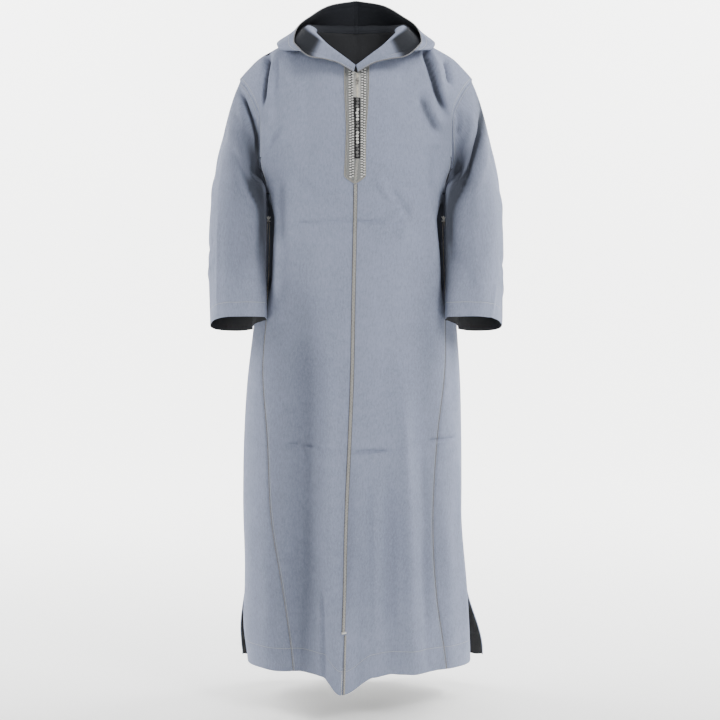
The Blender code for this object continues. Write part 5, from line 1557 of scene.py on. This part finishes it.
def make_pocket_pieces():
    """A loop of cord round each pocket slit, and an arrow-shaped tack at its top."""
    lay, size = skirt_front(), sizes()
    turn = np.linspace(0, 2 * math.pi, 200)
    middle, half = (POCKET_TOP_Z + POCKET_BOTTOM_Z) / 2, (POCKET_TOP_Z - POCKET_BOTTOM_Z) / 2
    z = middle + half * np.cos(turn)
    for side, word in SIDES:
        x = seam_x(side, z) + POCKET_HALF * power(np.sin(turn), 0.35)
        pile = laid_cord(Pile(), lay, x, z, size.cord_radius + 0.0003, size.cord_radius, size.cord_pitch)
        name = "pocket_piping_" + word
        trim(pile, name + "_twisted", "seam", [name], weld=False)
        tacks = Pile()
        for lean in (-0.5, 0.0, 0.5):
            tack_z = POCKET_TOP_Z + 0.004 - 0.002 * abs(lean)
            scatter(tacks, lay, pillow(*ARROW_TACK), seam_x(side, tack_z) - 0.004 * lean,
                    tack_z + 0.004, 0.0004, tilt=lean)
        for bar_z in (POCKET_TOP_Z + 0.001, POCKET_BOTTOM_Z - 0.001):
            scatter(tacks, lay, pillow(*POCKET_TACK), seam_x(side, bar_z), bar_z, 0.0004)
        trim(tacks, "pocket_tacks_" + word, "thread")


def make_seam_pieces():
    """A fine cord beside the seam between each front and its gore, down to the hem."""
    radius, pitch = sizes().seam_cord_radius, sizes().cord_pitch * THIN_PITCH
    for side, word in SIDES:
        front = body_panels()[0]["front_" + word]["points"]
        z = np.linspace(POCKET_BOTTOM_Z - 0.004, front[0, -1, 2] + 0.002, 300)
        x = seam_x(side, z) - side * SEAM_CORD_OFFSET
        pile = laid_cord(Pile(), Lay(front, side), x, z, radius * 0.6, radius, pitch, 8)
        trim(pile, "seam_cord_" + word, "seam", weld=False)


def make_rim_cord():
    """The cord along the free edge of the hood, from one side of the V to the other."""
    radius = sizes().rim_cord_radius
    halves = []
    for side, word in SIDES:
        points, _ = hood_half(side, word)
        rim = points[-1]
        along = unit(np.gradient(rim, axis=0))
        beyond = rim - points[-4]
        beyond = unit(beyond - along * np.sum(along * beyond, -1, keepdims=True))
        middle = rim - grid_normals(points, side)[-1] * sizes().wall / 2
        halves.append(np.concatenate([middle + beyond * radius * 0.8, beyond], 1))
    both = even_path(np.concatenate([halves[0], halves[1][::-1][1:]]), 0.0009)
    path, out = smooth_line(both[:, :3], 10), unit(both[:, 3:])
    pile = twisted(Pile(), path, out, radius, sizes().cord_pitch)
    trim(pile, "hood_rim_cord", "rim", ["hood_cord"], weld=False)


# ---- finishes ----
class Finish:
    """A material with one Principled shader, and short ways to add nodes before it."""

    def __init__(self, name, roughness, metallic=0.0, sheen=0.0, specular=0.3):
        self.made = bpy.data.materials.new(name)
        self.made.use_nodes = True
        self.tree = self.made.node_tree
        self.done({"Roughness": roughness, "Metallic": metallic, "Sheen Weight": sheen,
                   "Sheen Roughness": 0.45, "Specular IOR Level": specular})
        self.spot = self.node("TexCoord").outputs["Object"]

    def feed(self, node, inputs):
        """Gives a node its input values; a value that is a socket is linked."""
        for word, value in inputs.items():
            if isinstance(value, bpy.types.NodeSocket):
                self.tree.links.new(value, node.inputs[word])
            else:
                node.inputs[word].default_value = value
        return node

    def done(self, inputs):
        """Feeds the shader and hands over the material."""
        self.feed(self.tree.nodes["Principled BSDF"], inputs)
        return self.made

    def node(self, kind, inputs=None, **settings):
        node = self.tree.nodes.new("ShaderNode" + kind)
        for word, value in settings.items():
            setattr(node, word, value)
        return self.feed(node, inputs or {})

    def maths(self, operation, *values):
        return self.node("Math", dict(enumerate(values)), operation=operation).outputs[0]

    def times(self, first, second):
        return self.maths("MULTIPLY", first, second)

    def blend(self, share, *colours):
        """A mix of two colours, each a socket or three numbers."""
        first, second = (part if isinstance(part, bpy.types.NodeSocket) else (*part, 1.0)
                         for part in colours)
        return self.node("Mix", {0: share, 6: first, 7: second}, data_type="RGBA").outputs[2]

    def noise(self, scale, detail=3.0, roughness=0.6, vector=None):
        """Noise; a scale of three numbers draws it out by stretching the coordinates first."""
        vector = vector or self.spot
        if isinstance(scale, tuple):
            vector, scale = self.node("Mapping", {"Vector": vector, "Scale": scale}).outputs[0], 1.0
        return self.node("TexNoise", {"Vector": vector, "Scale": scale, "Detail": detail,
                                      "Roughness": roughness}).outputs["Fac"]

    def spread(self, *values, kind="LINEAR"):
        """A value brought from one range (low, high) to another."""
        return self.node("MapRange", dict(enumerate(values)), interpolation_type=kind).outputs[0]

    def bump(self, *layers):
        """The normal after layers of relief: each has a height, a distance and a strength."""
        below = {}
        for height, distance, strength in layers:
            inputs = {"Height": height, "Distance": distance, "Strength": strength, **below}
            below = {"Normal": self.node("Bump", inputs).outputs["Normal"]}
        return below["Normal"]

    def attribute(self, name):
        return self.node("Attribute", attribute_name=name).outputs["Fac"]


TWILL_PITCH = 0.0016
TAPE_CHECK = 0.0012
STITCH_LENGTH = 0.0032
SHEEN = 0.28  # of the outer face; none where shade is painted, in the troughs and on the inner face


def stitches(finish, line, along):
    """Two masks for a line of stitches: its threads, and the groove that they pull in."""
    distance = finish.maths("ABSOLUTE", finish.attribute(line))
    thread = finish.spread(distance, 0.0004, 0.0008, 1, 0, kind="SMOOTHSTEP")
    groove = finish.spread(distance, 0.0004, 0.0026, 1, 0, kind="SMOOTHSTEP")
    beat = finish.maths("FRACT", finish.maths("DIVIDE", along, STITCH_LENGTH))
    dash = finish.spread(finish.maths("PINGPONG", beat, 0.5), 0.06, 0.16, 0, 1, kind="SMOOTHSTEP")
    return finish.times(thread, dash), groove


def cloth_finish(colours):
    """Dense brushed wool twill: diagonal ribs, nap, soft mottling, lines of stitches, and painted shade in
    the stitch grooves, in the troughs and on the inner face.
    """
    wool = Finish("robe_cloth", 0.86, specular=0.14)
    maths, times, noise, spread = wool.maths, wool.times, wool.noise, wool.spread
    pale, deep = colours.cloth_pale, colours.cloth_deep
    uv = wool.node("UVMap", uv_map="cloth").outputs["UV"]
    u, v = wool.node("SeparateXYZ", {"Vector": uv}).outputs[:2]
    turns = 2 * math.pi / TWILL_PITCH
    ribs = maths("SINE", times(maths("ADD", u, times(v, 0.62)), turns))
    cross = maths("SINE", times(maths("SUBTRACT", v, times(u, 0.4)), turns * 1.3))
    weave = maths("ADD", ribs, times(cross, 0.35))
    yarn = noise((420.0, 150.0, 1.0), 3.0, 0.65, uv)
    slub = noise((230.0, 70.0, 1.0), 3.0, 0.6, uv)
    nap, cloud, blotch = noise(900.0, 2.0), noise(3.2, 4.0, 0.62), noise(26.0, 4.0)
    (hem_thread, hem_groove), (seam_thread, seam_groove) = (
        stitches(wool, "hem_line", u), stitches(wool, "seam_line", v))
    groove, thread = maths("MAXIMUM", hem_groove, seam_groove), maths("MAXIMUM", hem_thread, seam_thread)
    shaded = spread(wool.attribute("painted_shade"), 0, 1, 0, 0.9)
    inside = wool.attribute("inside")
    # painted shade: the grooves beside the stitches are darkened towards the deep tone, the inner face
    # gets its dark painted tone, and the troughs the shadow colour
    base = colours.cloth
    for share, tone in (
            (spread(cloud, 0.3, 0.7, 0, 1), pale), (spread(blotch, 0.35, 0.75, 0, 0.4), deep),
            (spread(yarn, 0.38, 0.66, 0, 0.75), pale), (spread(slub, 0.42, 0.7, 0, 0.36), deep),
            (spread(nap, 0.4, 0.7, 0, 0.3), deep), (spread(ribs, -1, 0.2, 0.22, 0), deep),
            (times(groove, 0.4), deep), (times(thread, 0.8), colours.stitch),
            (inside, colours.painted_inner_shade), (shaded, colours.shadow)):
        base = wool.blend(share, base, tone)
    cloth_out_of_painted_shade = maths("SUBTRACT", 1.0, maths("MAXIMUM", shaded, inside))
    return wool.done({
        "Base Color": base, "Roughness": spread(yarn, 0.3, 0.8, 0.8, 0.95),
        "Sheen Weight": times(cloth_out_of_painted_shade, SHEEN), "Sheen Tint": (*pale, 1.0),
        "Normal": wool.bump((maths("ADD", weave, times(nap, 1.4)), 0.0001, 0.55),
                            (yarn, 0.00035, 0.5), (blotch, 0.0022, 0.5),
                            (noise((15.0, 15.0, 5.0), 5.0, 0.5), 0.009, 0.6),
                            (maths("SUBTRACT", times(thread, 0.5), groove), 0.0006, 0.8))})


def thread_finish(name, colour, dark, roughness, shade=True):
    """Spun thread: fine fibres, darker hollows, and the shade that each part carries."""
    thread = Finish(name, roughness, sheen=0.25, specular=0.35)
    fibre = thread.noise(1400.0)
    base = thread.blend(thread.spread(fibre, 0.35, 0.7, 0, 0.75), dark, colour)
    base = thread.blend(thread.spread(thread.noise(45.0), 0.4, 0.75, 0, 0.35), base, dark)
    if shade:
        base = thread.blend(thread.times(thread.attribute("shade"), 0.45), base, colour)
    return thread.done({"Base Color": base, "Normal": thread.bump((fibre, 0.00025, 0.7))})


def tape_finish(name, colour, dark):
    """Woven tape: small checks of warp and weft read from the piece's own coordinates."""
    tape = Finish(name, 0.82, sheen=0.15)
    split = tape.node("SeparateXYZ", {"Vector": tape.spot}).outputs
    warp, weft = (tape.maths("SINE", tape.times(split[k], 2 * math.pi / TAPE_CHECK)) for k in (0, 2))
    check = tape.times(warp, weft)
    mask = tape.maths("ADD", tape.spread(check, -1, 1, 0.1, 0.7),
                      tape.spread(tape.noise(1500.0, 2.0), 0.3, 0.7, 0, 0.3))
    return tape.done({"Base Color": tape.blend(mask, dark, colour),
                      "Normal": tape.bump((check, 0.00016, 0.8))})


def knot_finish(name, pale, dark):
    """Thread knots whose shade runs from dark to pale, knot by knot."""
    knot = Finish(name, 0.72, sheen=0.2)
    fibre = knot.noise(1600.0)
    base = knot.blend(knot.attribute("shade"), dark, pale)
    base = knot.blend(knot.spread(fibre, 0.35, 0.7, 0.4, 0.0), base, dark)
    return knot.done({"Base Color": base, "Normal": knot.bump((fibre, 0.0002, 0.7))})


def metal_finish(name, colour, worn):
    """Plated metal rubbed brighter where it is handled, with fine scratches."""
    metal = Finish(name, 0.38, metallic=1.0, specular=0.5)
    scratch = metal.noise((900.0, 900.0, 160.0), 4.0, 0.7)
    base = metal.blend(metal.spread(metal.noise(260.0), 0.42, 0.66, 0, 0.8), colour, worn)
    return metal.done({"Base Color": base, "Roughness": metal.spread(scratch, 0.3, 0.8, 0.26, 0.55),
                       "Normal": metal.bump((scratch, 0.00004, 0.5))})


FLOOR_GLOW = 0.34  # softens the shadow under the hem, as light from all round would


def plain_finish(name, colour, roughness):
    """A pale painted wall or floor, with a trace of unevenness."""
    paint = Finish(name, roughness, specular=0.2)
    base = paint.blend(paint.noise(1.3), colour, dimmed(colour, 0.985))
    return paint.done({"Base Color": base, "Emission Color": base, "Emission Strength": FLOOR_GLOW})


def dimmed(colour, share):
    return tuple(share * part for part in colour)


# ---- settings and operators ----
def length_setting(name, description, default):
    return bpy.props.FloatProperty(name=name, description=description, default=default,
                                   min=0.0001, max=0.05, precision=4, unit="LENGTH")


def colour_setting(name, description, default):
    return bpy.props.FloatVectorProperty(name=name, description=description, default=default,
                                         min=0.0, max=1.0, size=3, subtype="COLOR")


class RobeSizes(bpy.types.PropertyGroup):
    wall: length_setting("Cloth thickness", "Thickness of the cloth", 0.0018)
    block_pitch: length_setting("Stitch block pitch", "Distance between stitch blocks", 0.006)
    tooth_pitch: length_setting("Tooth pitch", "Distance between the zip's teeth", 0.0015)
    knot_pitch: length_setting("Knot pitch", "Distance between the knots on the tape", 0.0075)
    braid_pitch: length_setting("Braid pitch", "Length of one full turn of the braid", 0.0125)
    cord_pitch: length_setting("Cord pitch", "Length of one full turn of a twisted cord", 0.0048)
    cord_radius: length_setting("Cord radius", "Radius of the cord on placket and pockets", 0.0011)
    rim_cord_radius: length_setting("Hood cord radius", "Radius of the cord on the hood's rim", 0.0013)
    seam_cord_radius: length_setting("Seam cord radius", "Radius of the cord beside a seam", 0.0008)


class RobeColours(bpy.types.PropertyGroup):
    cloth: colour_setting("Cloth", "Main colour of the cloth", (0.203, 0.229, 0.32))
    cloth_pale: colour_setting("Pale cloth", "Lighter yarns and worn nap", (0.27, 0.299, 0.402))
    cloth_deep: colour_setting("Deep cloth", "Hollows of the weave", (0.126, 0.144, 0.186))
    # painted shade: the inner face is the same cloth as the outside; this dark tone stands for the shadow
    # on it
    painted_inner_shade: colour_setting("Inner face", "Inner face of the cloth, darker", (0.034, 0.035, 0.038))
    # painted shadow, blended into the troughs and into the gaps between the parts
    shadow: colour_setting("Hollows", "Deepest hollows of the cloth", (0.014, 0.016, 0.021))
    stitch: colour_setting("Stitching", "Thread of the seams", (0.43, 0.445, 0.465))
    braid: colour_setting("Braid", "Pale silky thread of the braids", (0.47, 0.47, 0.45))
    braid_dark: colour_setting("Braid hollows", "Shade between the strands", (0.15, 0.14, 0.12))
    ground: colour_setting("Placket", "Ground between the stitch blocks", (0.215, 0.22, 0.215))
    tape: colour_setting("Dark tape", "Tape under the knots", (0.012, 0.012, 0.014))
    thread: colour_setting("Stitch blocks", "Thread of the blocks and tacks", (0.72, 0.715, 0.69))
    metal: colour_setting("Metal", "Zip, slider and pull", (0.11, 0.105, 0.1))
    metal_worn: colour_setting("Worn metal", "Where the metal is rubbed", (0.42, 0.4, 0.36))
    teeth: colour_setting("Teeth", "Teeth of the zip", (0.64, 0.6, 0.5))
    floor: colour_setting("Floor", "Floor and backdrop", (0.88, 0.88, 0.87))


def sizes():
    return bpy.context.scene.robe_sizes


@cache
def finishes():
    """Every finish once, from the chosen colours."""
    colour = bpy.context.scene.robe_colours
    return {
        "cloth": cloth_finish(colour),
        "cord": thread_finish("twisted_cord", colour.braid, colour.braid_dark, 0.7),
        "braid": thread_finish("silky_braid", colour.braid, colour.braid_dark, 0.55),
        "edge": thread_finish("braid_edge", (0.16, 0.165, 0.175), (0.06, 0.06, 0.062), 0.8),
        "seam": thread_finish("seam_cord", (0.4, 0.37, 0.31), (0.03, 0.03, 0.032), 0.8, shade=False),
        "rim": thread_finish("rim_cord", (0.34, 0.34, 0.34), (0.08, 0.08, 0.09), 0.8, shade=False),
        "bed": tape_finish("column_bed", (0.075, 0.075, 0.072), (0.03, 0.03, 0.03)),
        "ground": tape_finish("placket_ground", colour.ground, dimmed(colour.ground, 0.5)),
        "thread": thread_finish("white_thread", colour.thread, dimmed(colour.thread, 0.5), 0.6),
        "tape": tape_finish("zip_tape", colour.braid, colour.braid_dark),
        "dark": tape_finish("dark_tape", colour.tape, dimmed(colour.tape, 0.3)),
        "knot": knot_finish("knot_thread", (0.7, 0.69, 0.66), (0.06, 0.06, 0.062)),
        "metal": metal_finish("worn_metal", colour.metal, colour.metal_worn),
        "teeth": metal_finish("zip_teeth", colour.teeth, dimmed(colour.teeth, 1.2)),
        "floor": plain_finish("pale_floor", colour.floor, 0.85),
    }


class ROBE_OT_body(bpy.types.Operator):
    """Make the fronts, the back and the side gores"""
    bl_idname = "robe.make_body"
    bl_label = "Body of the robe"

    def execute(self, context):
        body_walls()
        return {"FINISHED"}


class ROBE_OT_sleeves(bpy.types.Operator):
    """Make both sleeves"""
    bl_idname = "robe.make_sleeves"
    bl_label = "Sleeves"

    def execute(self, context):
        for side, word in SIDES:
            make_sleeve(side, word)
        return {"FINISHED"}


class ROBE_OT_hood(bpy.types.Operator):
    """Make both halves of the hood and the cord on its rim"""
    bl_idname = "robe.make_hood"
    bl_label = "Hood"

    def execute(self, context):
        for side, word in SIDES:
            make_hood_half(side, word)
        make_rim_cord()
        return {"FINISHED"}


class ROBE_OT_placket(bpy.types.Operator):
    """Make the placket, its stitch blocks and the cord round it"""
    bl_idname = "robe.make_placket"
    bl_label = "Placket"

    def execute(self, context):
        make_placket_ground()
        make_placket_columns()
        make_placket_cords()
        return {"FINISHED"}


class ROBE_OT_zip(bpy.types.Operator):
    """Make the zip's tape and teeth, and finish its slider and pull"""
    bl_idname = "robe.make_zip"
    bl_label = "Zip"

    def execute(self, context):
        make_zip_pieces()
        for node in ("zip_slider", "zip_pull"):
            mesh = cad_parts[node].data
            mesh.materials.clear()
            mesh.materials.append(finishes()["metal"])
        return {"FINISHED"}


class ROBE_OT_knots(bpy.types.Operator):
    """Make the dark tape and its row of knots"""
    bl_idname = "robe.make_knots"
    bl_label = "Knotted tape"

    def execute(self, context):
        make_knot_pieces()
        return {"FINISHED"}


class ROBE_OT_braids(bpy.types.Operator):
    """Make the braids of the centre seam and of the slit"""
    bl_idname = "robe.make_braids"
    bl_label = "Braids"

    def execute(self, context):
        make_braid_pieces()
        return {"FINISHED"}


class ROBE_OT_pockets(bpy.types.Operator):
    """Make the piping of the pockets and the cords beside the seams"""
    bl_idname = "robe.make_pockets"
    bl_label = "Pockets and seam cords"

    def execute(self, context):
        make_pocket_pieces()
        make_seam_pieces()
        return {"FINISHED"}


FLOOR_Z = -1.565
STAGE_WIDTH = 14.0
STAGE_FRONT, STAGE_BACK = -7.0, 3.2
STAGE_CURVE = 1.4
STAGE_HEIGHT = 5.0


def stage_profile():
    """The floor runs back, turns up in a quarter circle and becomes the backdrop."""
    turn = np.linspace(0, math.pi / 2, 60)
    curve_y = STAGE_BACK + STAGE_CURVE * np.sin(turn)
    curve_z = FLOOR_Z + STAGE_CURVE * (1 - np.cos(turn))
    y = np.concatenate([[STAGE_FRONT], curve_y, [STAGE_BACK + STAGE_CURVE]])
    z = np.concatenate([[FLOOR_Z], curve_z, [STAGE_HEIGHT]])
    return y, z


def add_light(name, location, aim, size, power):
    """A square soft light that shines from a place towards another."""
    lamp = bpy.data.lights.new(name, "AREA")
    lamp.shape, lamp.size, lamp.energy = "SQUARE", size, power
    thing = bpy.data.objects.new(name, lamp)
    bpy.context.scene.collection.objects.link(thing)
    thing.location = location
    way = Vector(aim) - Vector(location)
    thing.rotation_euler = way.to_track_quat("-Z", "Y").to_euler()


CAMERA_PLACE = (0.0096, -3.6, -0.35)
CAMERA_PITCH = 84.0
CAMERA_LENS = 75.0


class ROBE_OT_stage(bpy.types.Operator):
    """Make the floor and backdrop, the soft lights and the camera"""
    bl_idname = "robe.make_stage"
    bl_label = "Stage"

    def execute(self, context):
        y, z = stage_profile()
        x = np.linspace(-STAGE_WIDTH / 2, STAGE_WIDTH / 2, 3)
        grid = np.stack(np.broadcast_arrays(x, y[:, None], z[:, None]), -1)
        mesh = Pile().add(grid).mesh("studio_floor")
        mesh.materials.append(finishes()["floor"])
        floor = bpy.data.objects.new("studio_floor", mesh)
        context.scene.collection.objects.link(floor)
        add_light("key_light", (2.6, -2.6, 2.3), (0, 0, -0.35), 1.3, 162.0)
        add_light("fill_light", (-1.4, -3.6, 0.8), (0, 0, -0.4), 1.8, 46.0)
        add_light("chest_light", (0.3, -1.9, 1.7), (0, 0, -0.2), 1.0, 20.0)
        for side, word in SIDES:
            add_light("side_light_" + word, (3.1 * side, 0.5, 0.8), (0, 0, -0.7), 1.4, 92.0)
            add_light("back_light_" + word, (2.9 * side, 1.5, 1.8), (1.5 * side, 5.2, 0.2), 2.0, 560.0)
        world = bpy.data.worlds.new("studio_air")
        world.use_nodes = True
        air = world.node_tree.nodes["Background"]
        air.inputs["Color"].default_value = (0.97, 0.98, 1.0, 1.0)
        air.inputs["Strength"].default_value = 0.34
        context.scene.world = world
        lens = bpy.data.cameras.new("camera")
        lens.lens, lens.sensor_width = CAMERA_LENS, 36.0
        camera = bpy.data.objects.new("camera", lens)
        context.scene.collection.objects.link(camera)
        camera.location = CAMERA_PLACE
        camera.rotation_euler = (math.radians(CAMERA_PITCH), 0.0, 0.0)
        context.scene.camera = camera
        return {"FINISHED"}


STEPS = (ROBE_OT_stage, ROBE_OT_body, ROBE_OT_sleeves, ROBE_OT_hood, ROBE_OT_placket, ROBE_OT_zip,
         ROBE_OT_knots, ROBE_OT_braids, ROBE_OT_pockets)


class ROBE_PT_panel(bpy.types.Panel):
    bl_idname = "ROBE_PT_panel"
    bl_label = "Hooded robe"
    bl_space_type = "VIEW_3D"
    bl_region_type = "UI"
    bl_category = "Robe"

    def draw(self, context):
        layout = self.layout
        for step in STEPS:
            layout.operator(step.bl_idname)
        for group in (context.scene.robe_sizes, context.scene.robe_colours):
            box = layout.box()
            for word in group.__annotations__:
                box.prop(group, word)


CLASSES = (RobeSizes, RobeColours, *STEPS, ROBE_PT_panel)


def register():
    for made in CLASSES:
        bpy.utils.register_class(made)
    bpy.types.Scene.robe_sizes = bpy.props.PointerProperty(type=RobeSizes)
    bpy.types.Scene.robe_colours = bpy.props.PointerProperty(type=RobeColours)


def unregister():
    del bpy.types.Scene.robe_sizes, bpy.types.Scene.robe_colours
    for made in reversed(CLASSES):
        bpy.utils.unregister_class(made)


def main():
    register()
    for step in STEPS:
        group, name = step.bl_idname.split(".")
        getattr(getattr(bpy.ops, group), name)()


if __name__ == "__main__":
    main()
